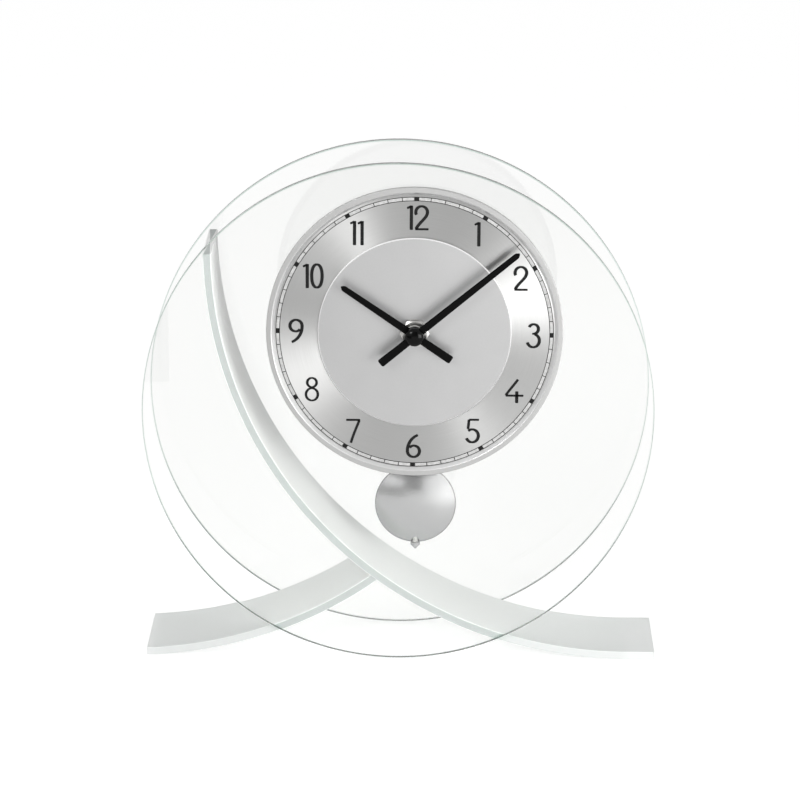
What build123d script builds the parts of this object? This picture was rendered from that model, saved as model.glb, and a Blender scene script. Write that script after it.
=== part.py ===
from build123d import *
import math
import os

# Desk pendulum clock: two round glass panes held apart by two bent glass strips.
# The dial sits on the front pane, the battery movement hangs behind it between the panes.
# Frame: X to the right, Y to the rear, Z up, origin under the middle of the whole clock.
# All lengths are millimetres and all angles are degrees.

# Glass stand
pane_radius = 140.0
pane_thickness = 4.0
pane_spacing = 60.0
pane_lift = 1.0
strip_thickness = 4.5
strip_bob_clearance = 15.5
strip_edge_inset = 1.0
long_strip_low_point = 127.0
long_strip_reach = 143.3
short_strip_low_point = 150.0
short_strip_reach = 139.0
short_strip_ground_depth = 0.5
bond_gap = 0.1
shaft_hole_clearance = 0.6

# Dial, measured from the middle of the front pane
dial_right_of_centre = 8.85
dial_above_centre = 47.0
dial_plate_radius = 77.0
dial_plate_thickness = 1.0
centre_plate_radius = 52.6
centre_plate_thickness = 1.2
centre_plate_chamfer = 0.6
bezel_wall = 3.5
bezel_depth = 2.8
bezel_flat_width = 2.7
bezel_lip_overlap = 0.8
bezel_seat_clearance = 0.05
hole_clearance = 0.2

# Hands, a little past eight minutes after ten; the angle is clockwise from twelve
hour_hand_angle = 304.2
minute_hand_length = 73.3
minute_hand_tail = 23.0
hour_hand_length = 48.4
hour_hand_tail = 23.3
hand_tail_width = 4.6
hand_tip_width = 3.2
hand_tip_slant = 2.0
hand_thickness = 0.5
hand_hub_radius = 4.6
hour_collar_radius = 4.2
hour_collar_length = 1.6
hand_spacing = 1.6
cap_radius = 5.1
cap_height = 2.6
cap_rim = 0.6

# Bushing that clamps the movement, the glass and the dial together
bushing_radius = 5.0
bushing_flange_radius = 8.0
bushing_flange_thickness = 1.0
bushing_proud = 1.2
nut_across_flats = 14.0
nut_thickness = 2.5
nut_chamfer = 0.3
nut_chamfer_slope = 1.8
washer_radius = 7.6
washer_thickness = 0.5
rubber_radius = 12.0
rubber_thickness = 1.0
pipe_proud = 2.2

# Movement box
shell_depth = 16.0
shell_wall = 1.5
shell_corner_radius = 3.0
cover_thickness = 1.5
room_clearance = 1.0
boss_radius = 2.7
boss_sink = 0.5
screw_radius = 1.1
screw_length = 8.0
screw_head_radius = 2.2
screw_head_height = 1.3
screw_slot_width = 0.6
screw_slot_depth = 0.6
bridge_thickness = 1.2
bridge_margin = 2.6
post_radius = 1.5
post_clearance = 1.2

# Wheels and arbors
running_clearance = 0.05
end_play = 0.1
pivot_depth = 1.0
gear_thickness = 1.2
level_gap = 0.6
arbor_radius = 0.5
hand_module = 0.5
hour_module = 0.48
train_module = 0.3
motor_module = 0.2
cannon_teeth = 12
minute_work_teeth = 36
minute_work_leaves = 10
hour_teeth = 40
setting_teeth = 12
centre_teeth = 64
third_leaves = 8
third_teeth = 60
fourth_leaves = 8
fourth_teeth = 40
fifth_leaves = 8
fifth_teeth = 48
rotor_leaves = 8
addendum_share = 0.8
dedendum_share = 1.1
tooth_root_share = 0.30
tooth_tip_share = 0.10
minute_arbor_radius = 1.75
minute_pivot_radius = 1.0
hour_pipe_radius = 3.0
clutch_radius = 3.2
clutch_thickness = 0.3
clutch_slit = 0.6
hub_radius = 2.6

# Directions of the arbors about each other, seen from the front, anticlockwise from +X
third_direction = 60.0
fourth_direction = 150.0
fifth_direction = 180.0
rotor_direction = 225.0
minute_work_direction = 240.0
setting_direction = 180.0
post_directions = (78.0, -27.5, 110.0, 128.0)

# Stepping motor
magnet_radius = 2.8
magnet_length = 3.6
magnet_bore_clearance = 0.5
stator_ring_width = 1.3
stator_thickness = 1.0
stator_arm_width = 3.2
coil_offset = 12.4
coil_length = 15.0
coil_core_width = 2.4
coil_core_thickness = 1.0
coil_former_radius = 1.9
coil_flange_radius = 4.1
coil_flange_thickness = 0.6
coil_winding_radius = 3.8

# Setting knob
setting_arbor_radius = 1.0
knob_radius = 7.0
knob_height = 4.0
knob_gap = 0.5
knob_flutes = 24
knob_flute_radius = 0.45
knob_recess_radius = 4.6
knob_recess_depth = 0.8

# Battery, one round cell standing on its flat end
cell_radius = 7.1
cell_length = 49.5
cell_nub_radius = 2.75
cell_nub_length = 1.0
cell_clearance = 0.4
cell_below_hands = 20.0
contact_thickness = 0.4
contact_width = 9.0
contact_dimple_radius = 2.2
contact_dimple_height = 0.8

# Circuit board and the coil that keeps the pendulum swinging
board_width = 28.0
board_height = 20.0
board_thickness = 1.0
board_from_back = 7.6
board_post_radius = 1.8
board_left_of_hands = 5.5
drive_coil_radius = 8.6
drive_former_radius = 3.0
drive_flange_thickness = 0.6
drive_coil_length = 5.6
drive_winding_inset = 0.6
crystal_radius = 1.0
crystal_length = 6.0
chip_radius = 3.0
chip_height = 1.0

# Pendulum
pendulum_right_of_hands = 0.9
pivot_below_hands = 18.0
pivot_boss_radius = 2.8
pivot_boss_height = 1.2
pivot_pin_radius = 0.9
pivot_pin_head_radius = 1.9
pivot_pin_head_length = 0.8
hanger_gap = 0.4
hanger_thickness = 3.0
hanger_width = 6.0
hanger_eye_radius = 3.6
hanger_length = 29.0
hanger_pad_radius = 6.6
drive_below_pivot = 16.0
drive_magnet_radius = 5.0
drive_magnet_thickness = 2.4
drive_magnet_proud = 0.7
hook_peg_radius = 1.2
hook_peg_length = 2.0
rod_radius = 0.9
rod_eye_radius = 2.6
rod_eye_thickness = 1.5
rod_gap = 0.3
bob_below_hands = 105.2
bob_radius = 22.5
bob_dome_height = 5.2
bob_shell_thickness = 0.6
guide_radius = 1.5
rating_nut_radius = 2.7
rating_nut_height = 1.6
rating_nut_point_height = 2.3
rating_nut_point_radius = 0.5
rating_nut_bore_depth = 2.4
rod_in_nut = 1.2
rating_nut_flutes = 16
rating_nut_flute_radius = 0.22
flute_sink_share = 0.35

overrun = 1.0

# The minute hand's angle follows from the motion work's ratio
hand_ratio = (minute_work_teeth * hour_teeth) / (cannon_teeth * minute_work_leaves)
minute_hand_angle = (hour_hand_angle * hand_ratio) % 360.0

# Whole clock: depths run from the front pane's rear face, then the middle of the box is found
front_stack = (pane_thickness + dial_plate_thickness + centre_plate_thickness + washer_thickness
               + nut_thickness + bushing_proud + pipe_proud + hand_thickness + hand_spacing
               + hand_thickness + cap_rim + cap_height)
rear_stack = pane_spacing + pane_thickness
glass_back_y = (front_stack - rear_stack) / 2
glass_front_y = glass_back_y - pane_thickness
rear_glass_y = glass_back_y + pane_spacing
pane_x = (max(pane_radius, short_strip_reach) - max(pane_radius, long_strip_reach)) / 2
pane_z = pane_lift + pane_radius

dial_x = pane_x + dial_right_of_centre
dial_z = pane_z + dial_above_centre
dial_front_y = glass_front_y - dial_plate_thickness
centre_front_y = dial_front_y - centre_plate_thickness
washer_front_y = centre_front_y - washer_thickness
nut_front_y = washer_front_y - nut_thickness
bushing_front_y = nut_front_y - bushing_proud
pipe_front_y = bushing_front_y - pipe_proud
hour_hand_y = pipe_front_y - hand_thickness
minute_hand_y = hour_hand_y - hand_spacing - hand_thickness
arbor_front_y = minute_hand_y
cap_rim_y = arbor_front_y - cap_rim

shell_front_y = glass_back_y + rubber_thickness
shell_floor_y = shell_front_y + shell_wall
shell_back_y = shell_front_y + shell_depth
cover_back_y = shell_back_y + cover_thickness


def level(number):
    """Front face of one of the gear levels, counted from the shell's floor to the rear."""
    return shell_floor_y + level_gap + number * (gear_thickness + level_gap)


hub_back_y = level(2) + gear_thickness + level_gap / 2
bridge_front_y = level(6)
bridge_back_y = bridge_front_y + bridge_thickness


def polar(centre, distance, direction):
    """Point at a distance and direction from a centre, in X and Z."""
    angle = math.radians(direction)
    return (centre[0] + distance * math.cos(angle), centre[1] + distance * math.sin(angle))


def mesh_distance(module, teeth, leaves):
    """Distance between the arbors of a wheel and its pinion."""
    return module * (teeth + leaves) / 2


def tip_radius(module, teeth):
    """Outer radius of a wheel."""
    return module * (teeth / 2 + addendum_share)


# Arbor places, in X and Z
hands_at = (dial_x, dial_z)
third_at = polar(hands_at, mesh_distance(train_module, centre_teeth, third_leaves), third_direction)
fourth_at = polar(third_at, mesh_distance(train_module, third_teeth, fourth_leaves), fourth_direction)
fifth_at = polar(fourth_at, mesh_distance(train_module, fourth_teeth, fifth_leaves), fifth_direction)
rotor_at = polar(fifth_at, mesh_distance(motor_module, fifth_teeth, rotor_leaves), rotor_direction)
minute_work_at = polar(hands_at, mesh_distance(hand_module, cannon_teeth, minute_work_teeth),
                       minute_work_direction)
setting_at = polar(minute_work_at, mesh_distance(hand_module, minute_work_teeth, setting_teeth),
                   setting_direction)
coil_at = (rotor_at[0] - coil_offset, rotor_at[1])
magnet_middle_y = level(1) + magnet_length / 2
stator_front_y = magnet_middle_y - stator_thickness / 2
core_front_y = stator_front_y + stator_thickness

third_tip = tip_radius(train_module, third_teeth)
fourth_tip = tip_radius(train_module, fourth_teeth)
post_centres = (third_at, hands_at, setting_at, fifth_at)
post_wheels = (third_tip, tip_radius(hour_module, hour_teeth), tip_radius(hand_module, setting_teeth),
               tip_radius(motor_module, fifth_teeth))
posts = [polar(centre, wheel + post_radius + post_clearance, direction)
         for centre, wheel, direction in zip(post_centres, post_wheels, post_directions)]

# Battery bay, to the right of the wheels
bay_left = third_at[0] + third_tip + room_clearance + shell_wall
cell_x = bay_left + cell_clearance + cell_radius
bay_right = cell_x + cell_radius + cell_clearance
cell_y = shell_floor_y + cell_clearance + cell_radius
cell_total = cell_length + cell_nub_length
cell_low_z = dial_z - cell_below_hands - cell_total / 2
contact_height = contact_thickness + contact_dimple_height
bay_low = cell_low_z - running_clearance - contact_height
bay_high = cell_low_z + cell_total + running_clearance + contact_height

# Outside of the movement box
shell_left = coil_at[0] - coil_flange_radius - room_clearance - shell_wall
shell_right = bay_right + shell_wall
shell_low = bay_low - shell_wall
core_high = coil_at[1] + coil_length / 2 + stator_arm_width
room_high = max(fourth_at[1] + fourth_tip, core_high) + room_clearance
shell_high = room_high + 2 * boss_radius + shell_wall
boss_inset = shell_wall + boss_radius - boss_sink
room_right = bay_left - shell_wall
bosses = [(shell_left + boss_inset, shell_high - boss_inset),
          (shell_right - boss_inset, shell_high - boss_inset),
          (shell_left + boss_inset, shell_low + boss_inset),
          (room_right - boss_radius + boss_sink, shell_low + boss_inset)]

# Pendulum places
pendulum_x = dial_x + pendulum_right_of_hands
pivot_z = dial_z - pivot_below_hands
drive_z = pivot_z - drive_below_pivot
hook_z = pivot_z - hanger_length
pivot_boss_y = cover_back_y + pivot_boss_height
hanger_front_y = pivot_boss_y + hanger_gap
hanger_back_y = hanger_front_y + hanger_thickness
pin_head_y = hanger_back_y + hanger_gap
rod_front_y = hanger_back_y + rod_gap
rod_y = rod_front_y + rod_eye_thickness / 2
rod_back_y = rod_front_y + rod_eye_thickness
bob_z = dial_z - bob_below_hands
bob_low_z = bob_z - bob_radius
rating_nut_top_z = bob_low_z - running_clearance
rod_low_z = rating_nut_top_z - rod_in_nut

# Bend of the glass strips: the long strip's inner face passes the bob with its clearance
foot_to_bob = pane_x + long_strip_low_point - pendulum_x
bob_room = strip_thickness + bob_radius + strip_bob_clearance
strip_bend_radius = (foot_to_bob ** 2 + bob_z ** 2 - bob_room ** 2) / (2 * (bob_z - bob_room))

# Circuit board's place
board_back_y = shell_back_y - board_from_back + board_thickness
board_front_y = board_back_y - board_thickness
board_x = dial_x - board_left_of_hands


def facing(y):
    """Plane at a depth, drawn in X and Z and facing the front."""
    return Plane(origin=(0, y, 0), x_dir=(1, 0, 0), z_dir=(0, -1, 0))


def slab(outline, front, back):
    """Solid of a flat outline in X and Z, from its front depth to its rear depth."""
    return extrude(facing(back) * outline, back - front)


def disc(radius, front, back, at):
    """Round solid along Y."""
    return slab(Pos(at[0], at[1]) * Circle(radius), front, back)


def block(left, right, low, high, front, back):
    """Square-cornered solid between its six faces."""
    outline = Pos((left + right) / 2, (low + high) / 2) * Rectangle(right - left, high - low)
    return slab(outline, front, back)


def upright(radius, low, high, x, y):
    """Round solid along Z."""
    return Pos(x, y, (low + high) / 2) * Cylinder(radius, high - low)


def toothed(teeth, module, at, phase, front, back):
    """Spur wheel with straight-sided teeth; one tooth points along the phase direction."""
    pitch = 2 * math.pi / teeth
    root = module * (teeth / 2 - dedendum_share)
    tip = tip_radius(module, teeth)
    corners = []
    for tooth in range(teeth):
        middle = math.radians(phase) + tooth * pitch
        for radius, share in ((root, -tooth_root_share), (tip, -tooth_tip_share),
                              (tip, tooth_tip_share), (root, tooth_root_share)):
            angle = middle + share * pitch
            corners.append((at[0] + radius * math.cos(angle), at[1] + radius * math.sin(angle)))
    return slab(make_face(Polyline(*corners, close=True)), front, back)


def partner_phase(phase, teeth, direction, partner_teeth):
    """Tooth direction of a partner that meshes with a wheel, whose arbor lies in a direction."""
    pitch = 360.0 / teeth
    share = ((direction - phase) / pitch) % 1
    return direction + 180.0 - (0.5 - share) * 360.0 / partner_teeth


def arbor(at, back=bridge_back_y - end_play, radius=arbor_radius):
    """Thin steel arbor whose front pivot runs in the shell's floor."""
    return disc(radius, shell_floor_y - pivot_depth + end_play, back, at)


def pivot_hole(at, radius=arbor_radius):
    """Blind bearing hole in the shell's floor."""
    return disc(radius + running_clearance, shell_floor_y - pivot_depth, shell_floor_y + overrun, at)


def save(name, solid):
    """Write one piece to its own file."""
    export_step(solid, os.path.join("parts", name + ".step"))


# Tooth phases, worked out from mesh to mesh so that every pair is engaged at rest
cannon_phase = 0.0
minute_work_phase = partner_phase(cannon_phase, cannon_teeth, minute_work_direction, minute_work_teeth)
setting_phase = partner_phase(minute_work_phase, minute_work_teeth, setting_direction, setting_teeth)
minute_leaf_phase = 0.0
hour_phase = partner_phase(minute_leaf_phase, minute_work_leaves, minute_work_direction - 180.0, hour_teeth)
centre_phase = 0.0
third_leaf_phase = partner_phase(centre_phase, centre_teeth, third_direction, third_leaves)
third_phase = 0.0
fourth_leaf_phase = partner_phase(third_phase, third_teeth, fourth_direction, fourth_leaves)
fourth_phase = 0.0
fifth_leaf_phase = partner_phase(fourth_phase, fourth_teeth, fifth_direction, fifth_leaves)
fifth_phase = 0.0
rotor_leaf_phase = partner_phase(fifth_phase, fifth_teeth, rotor_direction, rotor_leaves)


def pane(front, hole):
    """Round glass pane standing on edge, with or without the hole for the shaft."""
    glass = disc(pane_radius, front, front + pane_thickness, (pane_x, pane_z))
    if hole:
        radius = bushing_radius + shaft_hole_clearance
        glass -= disc(radius, front - overrun, front + pane_thickness + overrun, hands_at)
    return glass


def bent_strip(low_x, radius, cut):
    """Glass strip bent to one radius, cut out of its full ring by a flat outline."""
    centre = Pos(low_x, radius)
    ring = centre * (Circle(radius) - Circle(radius - strip_thickness))
    return slab(ring & cut, glass_back_y, rear_glass_y)


def long_glass_strip():
    """Long strip: flat foot on the right, then one sweep up the left to the pane's edge."""
    low_x = pane_x + long_strip_low_point
    end_x = pane_x + long_strip_reach
    quarter = Pos(low_x - strip_bend_radius / 2, strip_bend_radius / 2) * Rectangle(
        strip_bend_radius, strip_bend_radius)
    inside = Pos(pane_x, pane_z) * Circle(pane_radius - strip_edge_inset)
    below = Pos(low_x, pane_z / 4) * Rectangle(2 * strip_bend_radius, pane_z / 2)
    sweep_cut = quarter & (inside + below)
    foot = block(low_x, end_x, 0, strip_thickness, glass_back_y, rear_glass_y)
    return bent_strip(low_x, strip_bend_radius, sweep_cut) + foot


def short_glass_strip():
    """Short strip: ground foot on the left, bent up to meet the long strip's underside."""
    low_x = pane_x - short_strip_low_point
    end_x = pane_x - short_strip_reach
    reach = long_strip_low_point + short_strip_reach
    window = Pos(end_x + reach / 2, strip_bend_radius / 2) * Rectangle(reach, strip_bend_radius)
    under = Pos(pane_x + long_strip_low_point, strip_bend_radius) * Circle(strip_bend_radius + bond_gap)
    height = strip_bend_radius - short_strip_ground_depth
    ring = Pos(low_x, height) * (Circle(strip_bend_radius) - Circle(strip_bend_radius - strip_thickness))
    quarter = (window & ring) - under
    strips = slab(quarter, glass_back_y, rear_glass_y).solids()
    return min(strips, key=lambda solid: solid.center().X)


def dial_bezel():
    """Flat satin ring that laps over the dial's edge, with a bright lip sloping inwards."""
    inner = dial_plate_radius - bezel_lip_overlap
    seat = dial_plate_radius + bezel_seat_clearance
    outer = dial_plate_radius + bezel_wall
    section = Polyline((seat, 0), (outer, 0), (outer, bezel_depth),
                       (outer - bezel_flat_width, bezel_depth), (inner, dial_plate_thickness),
                       (seat, dial_plate_thickness), close=True)
    ring = revolve(Plane.XZ * make_face(section), Axis.Z)
    return Plane(origin=(dial_x, glass_front_y, dial_z), x_dir=(1, 0, 0), z_dir=(0, -1, 0)) * ring


def dial_plate():
    """Thin round aluminium plate that carries the numerals and the minute track."""
    plate = disc(dial_plate_radius, dial_front_y, glass_front_y, hands_at)
    return plate - disc(bushing_radius + hole_clearance, dial_front_y - overrun, glass_front_y + overrun,
                        hands_at)


def dial_centre_plate():
    """Raised centre plate with a bright bevelled edge."""
    plate = disc(centre_plate_radius, centre_front_y, dial_front_y, hands_at)
    rim = plate.faces().sort_by(Axis.Y)[0].edges()
    plate = chamfer(rim, centre_plate_chamfer)
    return plate - disc(bushing_radius + hole_clearance, centre_front_y - overrun,
                        dial_front_y + overrun, hands_at)


def hand(length, tail, front, shaft, direction):
    """Tapered hand with a rounded tail, a slanted tip and a round hub."""
    half_tail = hand_tail_width / 2
    half_tip = hand_tip_width / 2
    blade = make_face(Polyline((-tail + half_tail, -half_tail), (length - hand_tip_slant, -half_tip),
                               (length, half_tip), (-tail + half_tail, half_tail), close=True))
    outline = blade + Pos(-tail + half_tail, 0) * Circle(half_tail) + Circle(hand_hub_radius)
    outline -= Circle(shaft)
    turned = Pos(dial_x, dial_z) * Rot(0, 0, direction) * outline
    return slab(turned, front, front + hand_thickness)


def minute_hand():
    """Minute hand on the end of the minute arbor."""
    return hand(minute_hand_length, minute_hand_tail, minute_hand_y, minute_arbor_radius,
                90.0 - minute_hand_angle)


def hour_hand():
    """Hour hand with the collar that grips the hour pipe."""
    blade = hand(hour_hand_length, hour_hand_tail, hour_hand_y, minute_arbor_radius + hole_clearance,
                 90.0 - hour_hand_angle)
    collar = disc(hour_collar_radius, pipe_front_y, pipe_front_y + hour_collar_length, hands_at)
    collar -= disc(hour_pipe_radius, pipe_front_y - overrun, pipe_front_y + hour_collar_length + overrun,
                   hands_at)
    return blade + collar


def hand_cap():
    """Round domed cap that closes the end of the minute arbor."""
    rise = (cap_radius ** 2 + cap_height ** 2) / (2 * cap_height)
    dome = Pos(dial_x, cap_rim_y - cap_height + rise, dial_z) * Sphere(rise)
    front = disc(cap_radius, cap_rim_y - cap_height, cap_rim_y, hands_at)
    return (dome & front) + disc(cap_radius, cap_rim_y, arbor_front_y, hands_at)


def threaded_bushing():
    """Flanged tube that passes from the shell through the glass and the dial."""
    tube = disc(bushing_radius, bushing_front_y, shell_floor_y, hands_at)
    flange = disc(bushing_flange_radius, shell_front_y, shell_front_y + bushing_flange_thickness, hands_at)
    bore = disc(hour_pipe_radius + running_clearance, bushing_front_y - overrun,
                shell_floor_y + overrun, hands_at)
    return tube + flange - bore


def fixing_nut():
    """Hexagon nut with flats at top and bottom and a chamfered front edge."""
    corner = nut_across_flats / math.sqrt(3)
    body = slab(Pos(dial_x, dial_z) * RegularPolygon(corner, 6), nut_front_y, washer_front_y)
    edge = nut_across_flats / 2 - nut_chamfer
    spread = nut_thickness * nut_chamfer_slope
    cone = Cone(edge, edge + spread, nut_thickness, align=(Align.CENTER, Align.CENTER, Align.MIN))
    body &= Plane(origin=(dial_x, nut_front_y, dial_z), x_dir=(1, 0, 0), z_dir=(0, 1, 0)) * cone
    return body - disc(bushing_radius, nut_front_y - overrun, washer_front_y + overrun, hands_at)


def ring(outer, inner, front, back, at):
    """Flat round washer."""
    return disc(outer, front, back, at) - disc(inner, front - overrun, back + overrun, at)


def movement_front_shell():
    """Deep plastic shell: wheel room, battery bay, bosses, bridge posts and bearing holes."""
    outer = Pos((shell_left + shell_right) / 2, (shell_low + shell_high) / 2) * RectangleRounded(
        shell_right - shell_left, shell_high - shell_low, shell_corner_radius)
    shell = slab(outer, shell_front_y, shell_back_y)
    shell -= block(shell_left + shell_wall, room_right, shell_low + shell_wall, shell_high - shell_wall,
                   shell_floor_y, shell_back_y + overrun)
    shell -= block(room_right - overrun, shell_right - shell_wall, bay_high + shell_wall,
                   shell_high - shell_wall, shell_floor_y, shell_back_y + overrun)
    shell -= block(bay_left, bay_right, bay_low, bay_high, shell_floor_y, shell_back_y + overrun)
    for at in bosses:
        shell += disc(boss_radius, shell_floor_y, shell_back_y, at)
        shell -= disc(screw_radius, shell_back_y - screw_length, shell_back_y + overrun, at)
    for at in posts:
        shell += disc(post_radius, shell_floor_y, bridge_front_y, at)
        shell += disc(post_radius / 2, bridge_front_y, bridge_back_y, at)
    for side in (-1, 1):
        post_x = board_x + side * (board_width / 2 - board_post_radius)
        shell += disc(board_post_radius, shell_floor_y, board_front_y, (post_x, drive_z))
    for at in (third_at, fourth_at, fifth_at, rotor_at, minute_work_at, setting_at):
        shell -= pivot_hole(at)
    shell -= disc(bushing_flange_radius, shell_front_y - overrun,
                  shell_front_y + bushing_flange_thickness, hands_at)
    return shell - disc(bushing_radius, shell_front_y - overrun, shell_floor_y + overrun, hands_at)


def movement_back_cover():
    """Flat cover over the wheel room, open at the battery bay, with the pendulum's pivot boss."""
    outer = Pos((shell_left + shell_right) / 2, (shell_low + shell_high) / 2) * RectangleRounded(
        shell_right - shell_left, shell_high - shell_low, shell_corner_radius)
    cover = slab(outer, shell_back_y, cover_back_y)
    cover -= block(bay_left, bay_right, bay_low, bay_high, shell_back_y - overrun, cover_back_y + overrun)
    cover += disc(pivot_boss_radius, cover_back_y, pivot_boss_y, (pendulum_x, pivot_z))
    cover -= disc(pivot_pin_radius, shell_back_y - overrun, pivot_boss_y + overrun, (pendulum_x, pivot_z))
    cover -= disc(setting_arbor_radius + running_clearance, shell_back_y - overrun,
                  cover_back_y + overrun, setting_at)
    for at in bosses:
        cover -= disc(screw_radius + hole_clearance, shell_back_y - overrun, cover_back_y + overrun, at)
    return cover


def cover_screws():
    """Four slotted screws that hold the cover to the shell's bosses."""
    screws = []
    for at in bosses:
        shank = disc(screw_radius, shell_back_y - screw_length, cover_back_y, at)
        head = disc(screw_head_radius, cover_back_y, cover_back_y + screw_head_height, at)
        slot = block(at[0] - screw_head_radius - overrun, at[0] + screw_head_radius + overrun,
                     at[1] - screw_slot_width / 2, at[1] + screw_slot_width / 2,
                     cover_back_y + screw_head_height - screw_slot_depth,
                     cover_back_y + screw_head_height + overrun)
        screws.append(shank + head - slot)
    return Compound(children=screws)


def train_bridge():
    """Middle plate that carries the rear pivots of all the arbors."""
    places = posts + [hands_at, third_at, fourth_at, fifth_at, rotor_at, minute_work_at, setting_at]
    left = min(place[0] for place in places) - bridge_margin
    right = max(place[0] for place in places) + bridge_margin
    low = min(place[1] for place in places) - bridge_margin
    high = max(place[1] for place in places) + bridge_margin
    outline = Pos((left + right) / 2, (low + high) / 2) * RectangleRounded(
        right - left, high - low, bridge_margin)
    bridge = slab(outline, bridge_front_y, bridge_back_y)
    for at in posts:
        bridge -= disc(post_radius / 2, bridge_front_y - overrun, bridge_back_y + overrun, at)
    for at in (third_at, fourth_at, fifth_at, rotor_at, minute_work_at):
        bridge -= disc(arbor_radius + running_clearance, bridge_front_y - overrun,
                       bridge_back_y + overrun, at)
    bridge -= disc(setting_arbor_radius + running_clearance, bridge_front_y - overrun,
                   bridge_back_y + overrun, setting_at)
    return bridge - disc(minute_pivot_radius + running_clearance, bridge_front_y - overrun,
                         bridge_back_y + overrun, hands_at)


def minute_arbor():
    """Long arbor with the cannon pinion; it runs from the bridge out to the minute hand."""
    shaft = disc(minute_arbor_radius, arbor_front_y, hub_back_y, hands_at)
    shaft += disc(minute_pivot_radius, hub_back_y, bridge_back_y - end_play, hands_at)
    return shaft + toothed(cannon_teeth, hand_module, hands_at, cannon_phase,
                           level(1), level(1) + gear_thickness)


def hour_wheel():
    """Hour wheel with the pipe that carries the hour hand."""
    wheel = toothed(hour_teeth, hour_module, hands_at, hour_phase, level(0), level(0) + gear_thickness)
    pipe = disc(hour_pipe_radius, pipe_front_y, level(0), hands_at)
    return wheel + pipe - disc(minute_arbor_radius + running_clearance, pipe_front_y - overrun,
                               level(1), hands_at)


def minute_work_wheel():
    """Minute-work wheel and pinion between the cannon pinion and the hour wheel."""
    wheel = toothed(minute_work_teeth, hand_module, minute_work_at, minute_work_phase,
                    level(1), level(1) + gear_thickness)
    pinion = toothed(minute_work_leaves, hour_module, minute_work_at, minute_leaf_phase,
                     level(0), level(1))
    return wheel + pinion + arbor(minute_work_at)


def setting_pinion():
    """Pinion turned by the setting knob, on an arbor that leaves through the cover."""
    pinion = toothed(setting_teeth, hand_module, setting_at, setting_phase,
                     level(1), level(1) + gear_thickness)
    shaft = disc(setting_arbor_radius, level(1) + gear_thickness,
                 cover_back_y + knob_gap + knob_height - knob_recess_depth, setting_at)
    return pinion + shaft + arbor(setting_at, level(1) + gear_thickness)


def setting_knob():
    """Fluted knob on the movement's back for setting the hands."""
    front = cover_back_y + knob_gap
    back = front + knob_height
    knob = disc(knob_radius, front, back, setting_at)
    for flute in range(knob_flutes):
        place = polar(setting_at, knob_radius + knob_flute_radius * flute_sink_share,
                      flute * 360.0 / knob_flutes)
        knob -= disc(knob_flute_radius, front - overrun, back + overrun, place)
    knob -= disc(knob_recess_radius, back - knob_recess_depth, back + overrun, setting_at)
    return knob - disc(setting_arbor_radius, front - overrun, back + overrun, setting_at)


def centre_wheel():
    """Centre wheel that rides on the minute arbor and drives it through the clutch spring."""
    wheel = toothed(centre_teeth, train_module, hands_at, centre_phase, level(2), level(2) + gear_thickness)
    hub = disc(hub_radius, level(2) + gear_thickness, hub_back_y, hands_at)
    return wheel + hub - disc(minute_arbor_radius + running_clearance, level(2) - overrun,
                              hub_back_y + overrun, hands_at)


def clutch_spring():
    """Thin slit washer before the centre wheel that makes the slipping drive to the hands."""
    front = level(2) - clutch_thickness
    spring = ring(clutch_radius, minute_arbor_radius + running_clearance, front, level(2), hands_at)
    return spring - block(dial_x, dial_x + clutch_radius + overrun, dial_z - clutch_slit / 2,
                          dial_z + clutch_slit / 2, front - overrun, level(2) + overrun)


def train_wheel(at, teeth, module, phase, wheel_level, leaves, leaf_phase, leaf_module):
    """Wheel and pinion on one arbor; the pinion sits one level nearer the front."""
    wheel = toothed(teeth, module, at, phase, level(wheel_level), level(wheel_level) + gear_thickness)
    pinion = toothed(leaves, leaf_module, at, leaf_phase, level(wheel_level - 1), level(wheel_level))
    return wheel + pinion + arbor(at)


def third_wheel():
    """Third wheel: its pinion meshes with the centre wheel."""
    return train_wheel(third_at, third_teeth, train_module, third_phase, 3,
                       third_leaves, third_leaf_phase, train_module)


def fourth_wheel():
    """Fourth wheel, one turn a minute."""
    return train_wheel(fourth_at, fourth_teeth, train_module, fourth_phase, 4,
                       fourth_leaves, fourth_leaf_phase, train_module)


def fifth_wheel():
    """Fifth wheel, driven by the rotor's pinion."""
    return train_wheel(fifth_at, fifth_teeth, motor_module, fifth_phase, 5,
                       fifth_leaves, fifth_leaf_phase, train_module)


def rotor_pinion():
    """Rotor arbor with its pinion."""
    pinion = toothed(rotor_leaves, motor_module, rotor_at, rotor_leaf_phase,
                     level(5), level(5) + gear_thickness)
    return pinion + arbor(rotor_at)


def rotor_magnet():
    """Ring magnet on the rotor arbor."""
    return ring(magnet_radius, arbor_radius, level(1), level(1) + magnet_length, rotor_at)


def motor_stator():
    """Flat stator: a ring round the magnet with two arms to the coil's core."""
    bore = magnet_radius + magnet_bore_clearance
    outer = bore + stator_ring_width
    back = stator_front_y + stator_thickness
    stator = disc(outer, stator_front_y, back, rotor_at)
    for side in (-1, 1):
        high_z = rotor_at[1] + side * (coil_length / 2 + stator_arm_width)
        low_z = rotor_at[1] + side * coil_length / 2
        stator += block(coil_at[0] - coil_core_width / 2, rotor_at[0] - outer,
                        min(low_z, high_z), max(low_z, high_z), stator_front_y, back)
        arm = make_face(Polyline((rotor_at[0] - outer - stator_arm_width, low_z),
                                 (rotor_at[0] - outer, low_z),
                                 (rotor_at[0] - bore, rotor_at[1] + side * arbor_radius),
                                 (rotor_at[0] - bore - stator_arm_width, rotor_at[1] + side * arbor_radius),
                                 close=True))
        stator += slab(arm, stator_front_y, back)
    return stator - disc(bore, stator_front_y - overrun, back + overrun, rotor_at)


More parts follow.
